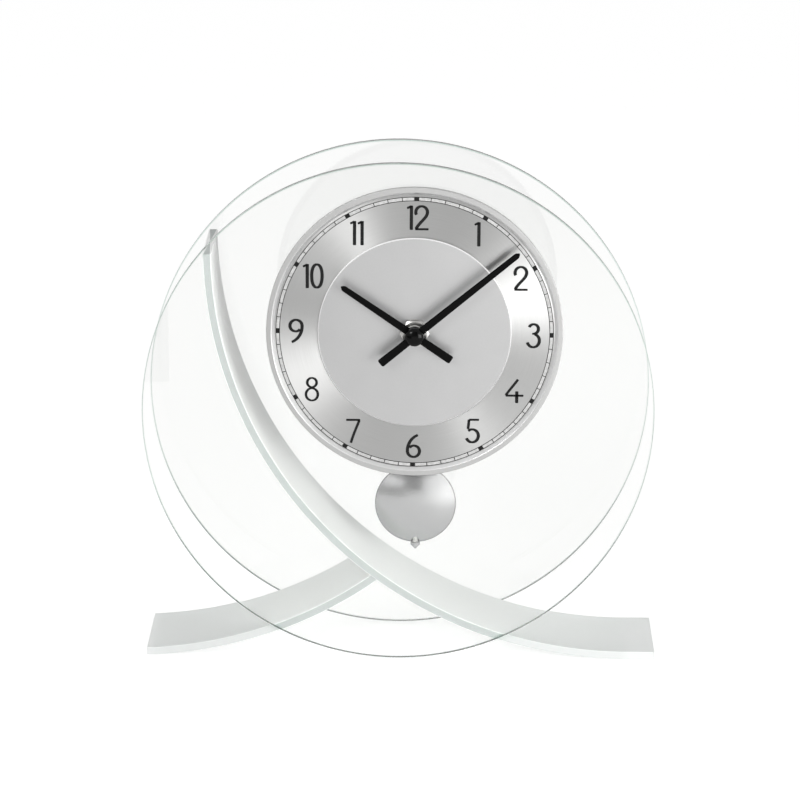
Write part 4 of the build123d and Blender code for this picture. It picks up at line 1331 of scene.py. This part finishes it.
@dataclass
class Hands:
    """Hour hand, minute hand and the cap that covers the arbor's end."""

    palette: Palette
    tail_width: float = 4.6
    tip_width: float = 3.2
    tip_point: float = 2.0
    end_round: float = 0.7
    tail_round: float = 1.2
    hub_radius: float = 4.6
    thickness: float = 0.5
    bevel: float = 0.12
    collar_radius: float = 4.2
    collar_length: float = 1.6
    collar_edge: float = 0.2
    pipe_radius: float = 3.0
    cap_rim: float = 0.6
    dome_power: float = 0.9
    hub_steps: int = 15
    steps: int = 64
    collar_steps: int = 48
    dome_rows: int = 14
    minute: HandSize = HandSize(73.3, 24.0, 50.4, False)
    hour: HandSize = HandSize(48.4, 24.2, 304.2, True)

    def __post_init__(self) -> None:
        """Reads the hands' axis from the frame."""
        self.axis = Extent.of("hand_cap").axis

    def outline(self, size: HandSize) -> Array:
        """Outline of a hand about its hub, pointing up, anticlockwise from its tip.

        The two sides taper from the tail's width to the tip's, which is a blunt point. The tail
        is square with round corners. The hub's circle is taken up where it leaves the sides.

        Args:
            size: Sizes of the hand.

        Returns:
            Points as rows of x and z.
        """
        tail, tip = self.tail_width / 2, self.tip_width / 2
        low, high = -size.tail, size.length - self.tip_point
        slope = (tip - tail) / (high - low)
        meet = math.acos(min(1.0, (tail - slope * low) / self.hub_radius))
        hub = np.linspace(meet, -meet, self.hub_steps)
        left = np.column_stack([-self.hub_radius * np.cos(hub), self.hub_radius * np.sin(hub)])
        right = left[::-1] * np.array([-1.0, 1.0])
        corners = np.array([[tip, high], [0.0, size.length], [-tip, high], [-tail, low], [tail, low]])
        ends = eased(corners, [self.end_round] * 3 + [self.tail_round] * 2).reshape(len(corners), -1, 2)
        return np.concatenate([*ends[:3], left, *ends[3:], right])

    def blade(self, name: str, node: str, size: HandSize, body: Body) -> Object:
        """Flat hand with fine bevelled edges, turned to its place on the dial.

        Args:
            name: Name of the piece.
            node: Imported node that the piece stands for.
            size: Sizes and angle of the hand.
            body: Body that it turns with.

        Returns:
            The mounted hand.
        """
        front = Extent.of(node).low[1]
        back = front + self.thickness
        flat = self.outline(size)
        angle = math.radians(size.angle)
        turn = np.array([[math.cos(angle), -math.sin(angle)], [math.sin(angle), math.cos(angle)]])
        outline = flat @ turn + self.axis[[0, 2]]
        grid = layered(outline, [front, front + self.bevel, back - self.bevel, back],
                       [self.bevel, 0.0, 0.0, self.bevel])
        ends = [np.broadcast_to(self.axis + [0.0, depth, 0.0], grid[:1].shape) for depth in (front, back)]
        shape = Shape(name).grid(np.concatenate([ends[0], grid, ends[1]]), turn_closes=True)
        if size.collar:
            corners = oblong(self.pipe_radius, self.collar_radius, back, back + self.collar_length)
            shape.closed(revolved(eased(corners, [0.0, 0.0, self.collar_edge, 0.0], 4), self.axis,
                                  self.collar_steps))
        return shape.piece(body, "black_lacquer", [self.palette.hands], [node], sharp=25.0)

    def cap(self) -> Object:
        """Domed cap with a short rim and a softened edge.

        At angle a, from 0 at the middle to a quarter turn at the rim, the dome's radius is
        r * sin(a) and its height above the rim is h * cos(a)^p.

        Returns:
            The mounted cap.
        """
        box = Extent.of("hand_cap")
        radius = box.size[0] / 2
        rim = box.high[1] - self.cap_rim
        angle = np.linspace(0.0, TURN / 4, self.dome_rows)
        dome = np.column_stack([radius * np.sin(angle),
                                rim - (rim - box.low[1]) * np.cos(angle) ** self.dome_power])
        section = np.concatenate([dome, [[radius, box.high[1]], [0.0, box.high[1]]]])
        return Shape("cap_dome").grid(revolved(section, box.axis, self.steps), turn_closes=True).piece(
            Body.MINUTE, "black_lacquer", [self.palette.cap], ["hand_cap"], sharp=40.0)

    def build(self) -> None:
        """Makes both hands and the cap."""
        self.blade("hour_blade", "hour_hand", self.hour, Body.HOUR)
        self.blade("minute_blade", "minute_hand", self.minute, Body.MINUTE)
        self.cap()


@dataclass
class Clamp:
    """Threaded bushing, hexagon nut and washers that hold movement, glass and dial together."""

    palette: Palette
    bore: float = 5.0
    bore_chamfer: float = 0.4
    nut_chamfer: float = 0.3
    chamfer_slope: float = 1.8
    thread_radius: float = 5.0
    thread_bore: float = 3.05
    pitch: float = 0.75
    thread_depth: float = 0.3
    lead_in: float = 0.3
    run_out: float = 1.5
    plain_start: float = 0.1
    flange_radius: float = 8.0
    flange_thickness: float = 1.0
    nut_steps: int = 144
    thread_steps: int = 72
    thread_rows: int = 64
    washer_steps: int = 96

    def nut(self) -> Object:
        """Hexagon nut.

        Its radius at angle a is f / cos(a'), where f is half its width across flats and a' is the
        angle from the nearest flat. The front corners are cut by a cone that starts near the
        flats, so the depth there is (radius - start) / slope.

        Returns:
            The mounted nut.
        """
        box = Extent.of("fixing_nut")
        flat = box.size[2] / 2
        angle = around(self.nut_steps)
        from_flat = (angle + TURN / 12) % (TURN / 6) - TURN / 12
        hexagon = flat / np.cos(from_flat)
        start = flat - self.nut_chamfer
        front, back = box.low[1], Extent.of("front_washer").low[1]
        cut = np.maximum(hexagon - start, 0.0) / self.chamfer_slope
        even = np.ones_like(angle)
        radii = [self.bore * even, (self.bore + self.bore_chamfer) * even, start * even, hexagon, hexagon,
                 self.bore * even]
        depths = [(front + self.bore_chamfer) * even, front * even, front * even, front + cut, back * even,
                  back * even]
        grid = spun(np.stack(radii), np.stack(depths), box.axis, angle)
        shape = Shape("hex_nut").closed(grid)
        return shape.piece(Body.CASE, "nickel", [self.palette.nickel], ["fixing_nut"], sharp=20.0)

    def bushing(self) -> Object:
        """Bushing with its thread.

        The thread's radius at angle a and depth y is r - h * (1 + cos(2 pi y / pitch - a)) / 2.

        Returns:
            The mounted bushing.
        """
        box = Extent.of("threaded_bushing")
        end = Extent.of("fixing_nut").high[1] + self.run_out
        radius, bore = self.thread_radius, self.thread_bore
        front, back = box.low[1], box.high[1]
        flange = Extent.of("movement_front_shell").low[1]
        angle = around(self.thread_steps)
        depth = np.linspace(front, end, self.thread_rows)[:, None]
        wave = 0.5 * self.thread_depth * (1 + np.cos(TURN * depth / self.pitch - angle))
        fade = np.clip((depth - front) / self.lead_in, 0.0, 1.0)
        outer = radius - self.lead_in * (1 - fade) - wave * fade
        wide, rear = self.flange_radius, flange + self.flange_thickness
        rest = np.array([[radius, end + self.plain_start], [radius, flange], [wide, flange], [wide, rear],
                         [radius, rear], [radius, back], [bore, back], [bore, front]])
        radii = np.concatenate([outer, np.repeat(rest[:, :1], len(angle), axis=1)])
        shape = Shape("bushing_thread").closed(
            spun(radii, np.concatenate([depth, rest[:, 1:]]), box.axis, angle))
        return shape.piece(Body.CASE, "nickel", [self.palette.nickel], ["threaded_bushing"])

    def washer(self, name: str, node: str, ease: float, slot: str,
               finish: Material) -> Object:
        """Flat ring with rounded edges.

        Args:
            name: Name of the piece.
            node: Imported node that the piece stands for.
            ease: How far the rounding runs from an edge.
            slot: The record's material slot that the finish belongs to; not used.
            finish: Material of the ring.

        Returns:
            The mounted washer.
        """
        box = Extent.of(node)
        section = eased(oblong(self.bore, box.size[0] / 2, box.low[1], box.high[1]), ease)
        return Shape(name).closed(revolved(section, box.axis, self.washer_steps)).piece(
            Body.CASE, slot, [finish], [node])

    def build(self) -> None:
        """Makes nut, bushing and both washers."""
        self.nut()
        self.bushing()
        self.washer("thin_washer", "front_washer", 0.12, "nickel", self.palette.nickel)
        self.washer("cushion_washer", "rubber_washer", 0.3, "black_rubber", self.palette.rubber)


@dataclass
class Pendulum:
    """Hanger, rod, bob and rating nut."""

    palette: Palette
    dome_height: float = 5.2
    rim_width: float = 0.45
    steps: int = 180
    dome_rows: int = 40
    nut_steps: int = 128
    flutes: int = 16

    def __post_init__(self) -> None:
        """Reads the bob and the rod from the frame."""
        self.bob = Extent.of("bob_front_shell")
        self.rod = Extent.of("pendulum_rod")
        self.radius = self.bob.size[0] / 2
        self.centre = np.array([self.bob.middle[0], self.rod.middle[1], self.bob.middle[2]])

    def dome(self, name: str, node: str, side: float) -> Object:
        """One half of the bob: a spherical cap with a turned rim.

        With s the sphere's radius (r^2 + h^2) / (2 h), the cap's depth at radius q is
        sqrt(s^2 - q^2) - (s - h).

        Args:
            name: Name of the piece.
            node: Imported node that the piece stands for.
            side: -1 for the front half and 1 for the rear.

        Returns:
            The mounted half.
        """
        sphere = (self.radius ** 2 + self.dome_height ** 2) / (2 * self.dome_height)
        edge = self.radius - self.rim_width
        reach = edge * np.sin(np.linspace(0.0, TURN / 4, self.dome_rows))
        depth = np.sqrt(sphere ** 2 - reach ** 2) - (sphere - self.dome_height)
        cap = np.column_stack([reach, depth])
        lip = depth[-1]
        # A shallow groove, a bead, the side and the flat back.
        rim = np.array([[edge + 0.08, lip - 0.05], [edge + 0.2, lip + 0.03], [self.radius - 0.03, lip * 0.8],
                        [self.radius, 0.01], [0.0, 0.01]])
        section = np.concatenate([cap, rim]) * np.array([1.0, side])
        finish = np.zeros((len(section) - 1, 1), int)
        finish[len(cap) - 1:] = 1
        grid = revolved(section, self.centre, self.steps)
        shape = Shape(name).grid(grid, turn_closes=True, finish=finish)
        return shape.piece(Body.BOB, "matt_silver", [self.palette.bob, self.palette.rim], [node],
                           sharp=40.0)

    def rating_nut(self) -> Object:
        """Fluted nut with a pointed end.

        Its radius at angle a is r * (1 - f * (1 + cos(n a)) / 2) for n flutes, with the flute
        share f falling to nothing on the point. The profile's rows are the share of the radius,
        the share of the height from the top, and f.

        Returns:
            The mounted nut.
        """
        box = Extent.of("rating_nut")
        angle = around(self.nut_steps)
        profile = np.array([[0.3, 0.0, 0.0], [0.97, 0.0, 0.0], [1.0, 0.06, 0.06], [1.0, 0.36, 0.06],
                            [0.94, 0.42, 0.0], [0.78, 0.48, 0.0], [0.16, 0.97, 0.0], [0.0, 1.0, 0.0]])
        reach, drop, flute = profile.T[:, :, None]
        radii = box.size[0] / 2 * reach * (1 - flute * (1 + np.cos(self.flutes * angle)) / 2)
        grid = spun(radii, box.high[2] - box.size[2] * drop, box.middle * UPRIGHT, angle,
                    Spindle.ALONG_Z)
        shape = Shape("rating_nut_fluted").closed_stack(grid)
        return shape.piece(Body.NUT, "matt_silver", [self.palette.bob], ["rating_nut"])

    def build(self) -> None:
        """Makes the bob's domes and the rating nut."""
        self.dome("bob_front", "bob_front_shell", -1.0)
        self.dome("bob_rear", "bob_rear_shell", 1.0)
        self.rating_nut()


@dataclass
class Movement:
    """The battery movement: its moulded box, what shows at its back, and its hidden works."""

    palette: Palette
    mould_radius: float = 0.35
    cell_steps: int = 96
    edge_angle: float = math.radians(30.0)
    flat_angle: float = math.radians(0.5)

    def softened(self, name: str, node: str, body: Body, slot: str, finish: Material,
                 width: float | None = None) -> Object:
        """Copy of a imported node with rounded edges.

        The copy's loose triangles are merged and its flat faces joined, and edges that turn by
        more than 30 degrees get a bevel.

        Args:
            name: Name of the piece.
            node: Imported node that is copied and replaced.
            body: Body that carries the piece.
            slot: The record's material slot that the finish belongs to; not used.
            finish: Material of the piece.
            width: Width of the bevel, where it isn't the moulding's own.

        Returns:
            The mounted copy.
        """
        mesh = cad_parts[node].data.copy()
        mesh.name = name
        mesh.materials.clear()
        work = bmesh.new()
        work.from_mesh(mesh)
        bmesh.ops.remove_doubles(work, verts=work.verts, dist=10 * WELD)
        bmesh.ops.dissolve_limit(work, angle_limit=self.flat_angle, verts=work.verts, edges=work.edges)
        work.to_mesh(mesh)
        work.free()
        mesh.shade_smooth()
        mesh.set_sharp_from_angle(angle=self.edge_angle)
        piece = bpy.data.objects.new(name, mesh)
        bevel = piece.modifiers.new("edges", "BEVEL")
        bevel.width = (width or self.mould_radius) * MM
        bevel.segments = 2
        bevel.limit_method = "ANGLE"
        bevel.angle_limit = self.edge_angle
        bevel.harden_normals = True
        return mounted(piece, body, slot, [finish], [node])

    def cell(self) -> Object:
        """Round cell: a wrapped can with a foil band, rolled ends and a raised nub.

        Returns:
            The mounted cell.
        """
        box = Extent.of("battery")
        radius = box.size[0] / 2
        low, high = box.low[2], box.high[2]
        shoulder = high - 1.0
        # The flat end, the rolled rim, the wrap, the foil band, the shoulder and the nub.
        section = np.array([[0.0, low], [radius - 2.4, low], [radius - 2.0, low + 0.25],
                            [radius - 0.5, low + 0.1], [radius - 0.08, low + 0.5], [radius, low + 0.8],
                            [radius, low + 1.2], [radius, high - 14.0], [radius, high - 13.8],
                            [radius, shoulder - 0.6], [radius - 0.15, shoulder - 0.2],
                            [radius - 0.7, shoulder - 0.1], [radius - 1.0, shoulder - 0.4],
                            [2.9, shoulder - 0.35], [2.75, shoulder], [2.7, high - 0.25], [2.4, high],
                            [0.0, high]])
        finish = np.array([2] * 4 + [0] * 4 + [1] * 3 + [2] * 6)[:, None]
        grid = revolved(section, box.middle * UPRIGHT, self.cell_steps, Spindle.ALONG_Z)
        finishes = [self.palette.wrap, self.palette.band, self.palette.nickel]
        shape = Shape("wrapped_cell").grid(grid, turn_closes=True, finish=finish)
        return shape.piece(Body.BATTERY, "cell_wrap", finishes, ["battery"], sharp=35.0)

    def dress(self, finish: Material, *nodes: str) -> None:
        """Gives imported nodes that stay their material.

        Args:
            finish: Material that they get.
            *nodes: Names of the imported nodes.
        """
        for node in nodes:
            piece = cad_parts[node]
            piece.data.materials.clear()
            piece.data.materials.append(finish)
            log.info("%s keeps its packed shape", node)

    def build(self) -> None:
        """Makes the moulded box and dresses the works."""
        palette = self.palette
        case, swing, steel = Body.CASE, Body.PENDULUM, palette.steel
        for name, node, body, slot, finish, width in (
                ("front_housing", "movement_front_shell", case, "black_plastic", palette.shell, None),
                ("rear_cover", "movement_back_cover", case, "black_plastic", palette.shell, None),
                ("set_knob", "setting_knob", Body.SETTING, "grey_plastic", palette.knob, 0.15),
                ("hanger_arm", "pendulum_hanger", swing, "natural_plastic", palette.natural, 0.25),
                ("slotted_screws", "cover_screws", case, "zinc_steel", steel, 0.12),
                ("pivot_pin", "pendulum_pivot_pin", case, "zinc_steel", steel, 0.15),
                ("hanging_rod", "pendulum_rod", swing, "zinc_steel", steel, 0.12),
                ("arm_magnet", "drive_magnet", swing, "magnet_nickel", palette.magnet, 0.25)):
            self.softened(name, node, body, slot, finish, width)
        self.cell()
        self.dress(palette.natural, "train_bridge", "hour_wheel", "minute_work_wheel", "setting_pinion",
                   "centre_wheel", "third_wheel", "fourth_wheel", "fifth_wheel", "rotor_pinion",
                   "motor_bobbin", "drive_bobbin")
        self.dress(palette.steel, "minute_arbor", "clutch_spring", "motor_stator", "motor_core",
                   "bob_guide_tube")
        self.dress(palette.nickel, "negative_contact", "positive_contact", "quartz_crystal")
        self.dress(palette.magnet, "rotor_magnet")
        self.dress(palette.copper, "motor_winding", "drive_winding")
        self.dress(palette.board, "circuit_board")


@dataclass
class Viewpoint:
    """Camera at the photograph's viewing angle."""

    elevation: float = 15.432
    yaw: float = 0.723
    roll: float = 0.335
    distance: float = 2089.56
    focal_pixels: float = 3769.6
    picture_pixels: float = 800.0
    sensor: float = 36.0
    nearest: float = 0.05
    farthest: float = 50.0
    target: tuple[float, float, float] = (-0.94, 7.2, 140.19)

    def build(self) -> None:
        """Stands the camera on the view line, turned by its roll."""
        rise, turn = math.radians(self.elevation), math.radians(self.yaw)
        back = Vector((math.sin(turn) * math.cos(rise), -math.cos(turn) * math.cos(rise), math.sin(rise)))
        right = (-back).cross(Vector((0.0, 0.0, 1.0))).normalized()
        up = right.cross(-back)
        roll = math.radians(self.roll)
        side = right * math.cos(roll) + up * math.sin(roll)
        top = up * math.cos(roll) - right * math.sin(roll)
        data = bpy.data.cameras.new("view")
        data.sensor_width = self.sensor
        data.lens = self.focal_pixels / self.picture_pixels * self.sensor
        data.clip_start, data.clip_end = self.nearest, self.farthest
        camera = bpy.data.objects.new("view", data)
        bpy.context.scene.collection.objects.link(camera)
        place = Matrix((side, top, back)).transposed().to_4x4()
        place.translation = (Vector(self.target) + back * self.distance) * MM
        camera.matrix_world = place
        bpy.context.scene.camera = camera


@dataclass(frozen=True)
class Softbox:
    """Area lamp that looks at the dial."""

    name: str
    direction: tuple[float, float, float]
    distance: float
    width: float
    height: float
    power: float


@dataclass(frozen=True)
class Card:
    """Dim upright card in front, which only metal and glass mirror; its sides are in metres."""

    left: float
    right: float
    depth: float
    low: float
    high: float
    level: float
    behind_glass: bool = False


@dataclass
class Studio:
    """White surroundings, a pale floor and two softboxes."""

    target: tuple[float, float, float] = (0.0, 0.0, 0.16)
    surround: float = 0.55
    floor_size: float = 6.0
    floor_roughness: float = 0.9
    floor_colour: Colour = (0.86, 0.86, 0.86)
    shadow_colour: Colour = (0.40, 0.40, 0.40)
    floor_glow: float = 0.77
    cards: tuple[Card, ...] = (
        Card(-0.6, 0.3, -2.0, 0.1, 1.7, 0.36),
        Card(0.3, 0.8, -2.0, 0.1, 1.7, 0.0),
        Card(-1.15, -0.17, -0.6, 0.003, 0.19, 0.03),
        Card(-1.9, -0.25, -0.95, 0.003, 0.19, 0.1, True),
        Card(-0.25, 0.15, -0.95, 0.12, 0.48, 0.2, True),
    )
    boxes: tuple[Softbox, ...] = (
        Softbox("right_box", (0.66, -0.75, 0.03), 1.0, 0.567, 0.4, 6.5),
        Softbox("left_box", (-0.42, -0.79, 0.445), 1.7, 0.5, 0.35, 9.2),
    )

    def world(self) -> None:
        """Even surround light, seen as white."""
        world = bpy.data.worlds.new("surround")
        bpy.context.scene.world = world
        graph = Nodes(world, "ShaderNodeOutputWorld")
        white = (1.0, 1.0, 1.0)
        lights = [graph.add("ShaderNodeBackground", {"Color": white, "Strength": level}).outputs[0]
                  for level in (self.surround, 1.0)]
        graph.show_mix(graph.seen(), *lights)

    def sheet(self, name: str, corners: Array, material: Material) -> Object:
        """Flat sheet of the studio, from its four corners in metres.

        Args:
            name: Name of the sheet.
            corners: Two rows of two corners.
            material: Material of the sheet.

        Returns:
            The staged sheet.
        """
        sheet = bpy.data.objects.new(name, Shape(name).grid(corners / MM).mesh())
        sheet.data.materials.append(material)
        bpy.context.scene.collection.objects.link(sheet)
        return sheet

    def floor(self) -> None:
        """Pale floor that glows white to the camera and keeps the clock's soft shadow."""
        graph = Graph("pale_floor")
        seen = graph.seen()
        graph.settings(Base_Color=graph.blend(seen, self.floor_colour, self.shadow_colour),
                       Roughness=self.floor_roughness, Specular_IOR_Level=0.0)
        glow = graph.add("ShaderNodeEmission", {"Strength": graph.math("MULTIPLY", seen, self.floor_glow)})
        both = graph.add("ShaderNodeAddShader", {0: graph.shader.outputs["BSDF"], 1: glow.outputs[0]})
        graph.show(both.outputs["Shader"])
        half = self.floor_size / 2
        corners = np.array([[[x, y, 0.0] for x in (-half, half)] for y in (-half, half)])
        floor = self.sheet("floor", corners, graph.material)
        if floor.data.polygons[0].normal.z < 0:
            floor.data.flip_normals()

    def card(self, size: Card) -> None:
        """Makes a card; it is clear to rays that no metal has mirrored yet.

        Args:
            size: Place, sides and brightness of the card.
        """
        graph = Graph("dim_card")
        glow = graph.add("ShaderNodeEmission", {"Strength": size.level})
        clear = graph.add("ShaderNodeBsdfTransparent")
        path = graph.add("ShaderNodeLightPath")
        graph.show_mix(graph.math("MINIMUM", path.outputs["Glossy Depth"], 1.0), clear.outputs[0],
                       glow.outputs[0])
        corners = np.array([[[side, size.depth, level] for side in (size.left, size.right)]
                            for level in (size.low, size.high)])
        card = self.sheet("dim_card", corners, graph.material)
        card.visible_glossy = not size.behind_glass
        card.visible_transmission = size.behind_glass
        card.visible_camera = card.visible_diffuse = False
        card.visible_shadow = card.visible_volume_scatter = False

    def lamp(self, box: Softbox) -> None:
        """Softbox on its direction from the dial, facing it.

        Args:
            box: Place, sides and power of the softbox.
        """
        data = bpy.data.lights.new(box.name, "AREA")
        data.shape = "RECTANGLE"
        data.size, data.size_y, data.energy = box.width, box.height, box.power
        lamp = bpy.data.objects.new(box.name, data)
        direction = Vector(box.direction).normalized()
        lamp.location = Vector(self.target) + direction * box.distance
        lamp.rotation_euler = direction.to_track_quat("Z", "Y").to_euler()
        lamp.visible_camera = lamp.visible_transmission = False
        bpy.context.scene.collection.objects.link(lamp)

    def build(self) -> None:
        """Sets the view transform and makes surround, floor, cards and lamps."""
        bpy.context.scene.view_settings.view_transform = "Standard"
        self.world()
        self.floor()
        for card in self.cards:
            self.card(card)
        for box in self.boxes:
            self.lamp(box)


def main() -> None:
    """Builds the clock and its studio, in order."""
    logging.basicConfig(level=logging.INFO, format="%(name)s: %(message)s")
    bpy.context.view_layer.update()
    palette = Palette()
    GlassStand(palette).build()
    Dial(palette, Numerals()).build()
    Hands(palette).build()
    Clamp(palette).build()
    Pendulum(palette).build()
    Movement(palette).build()
    Studio().build()
    Viewpoint().build()


if __name__ == "__main__":
    main()
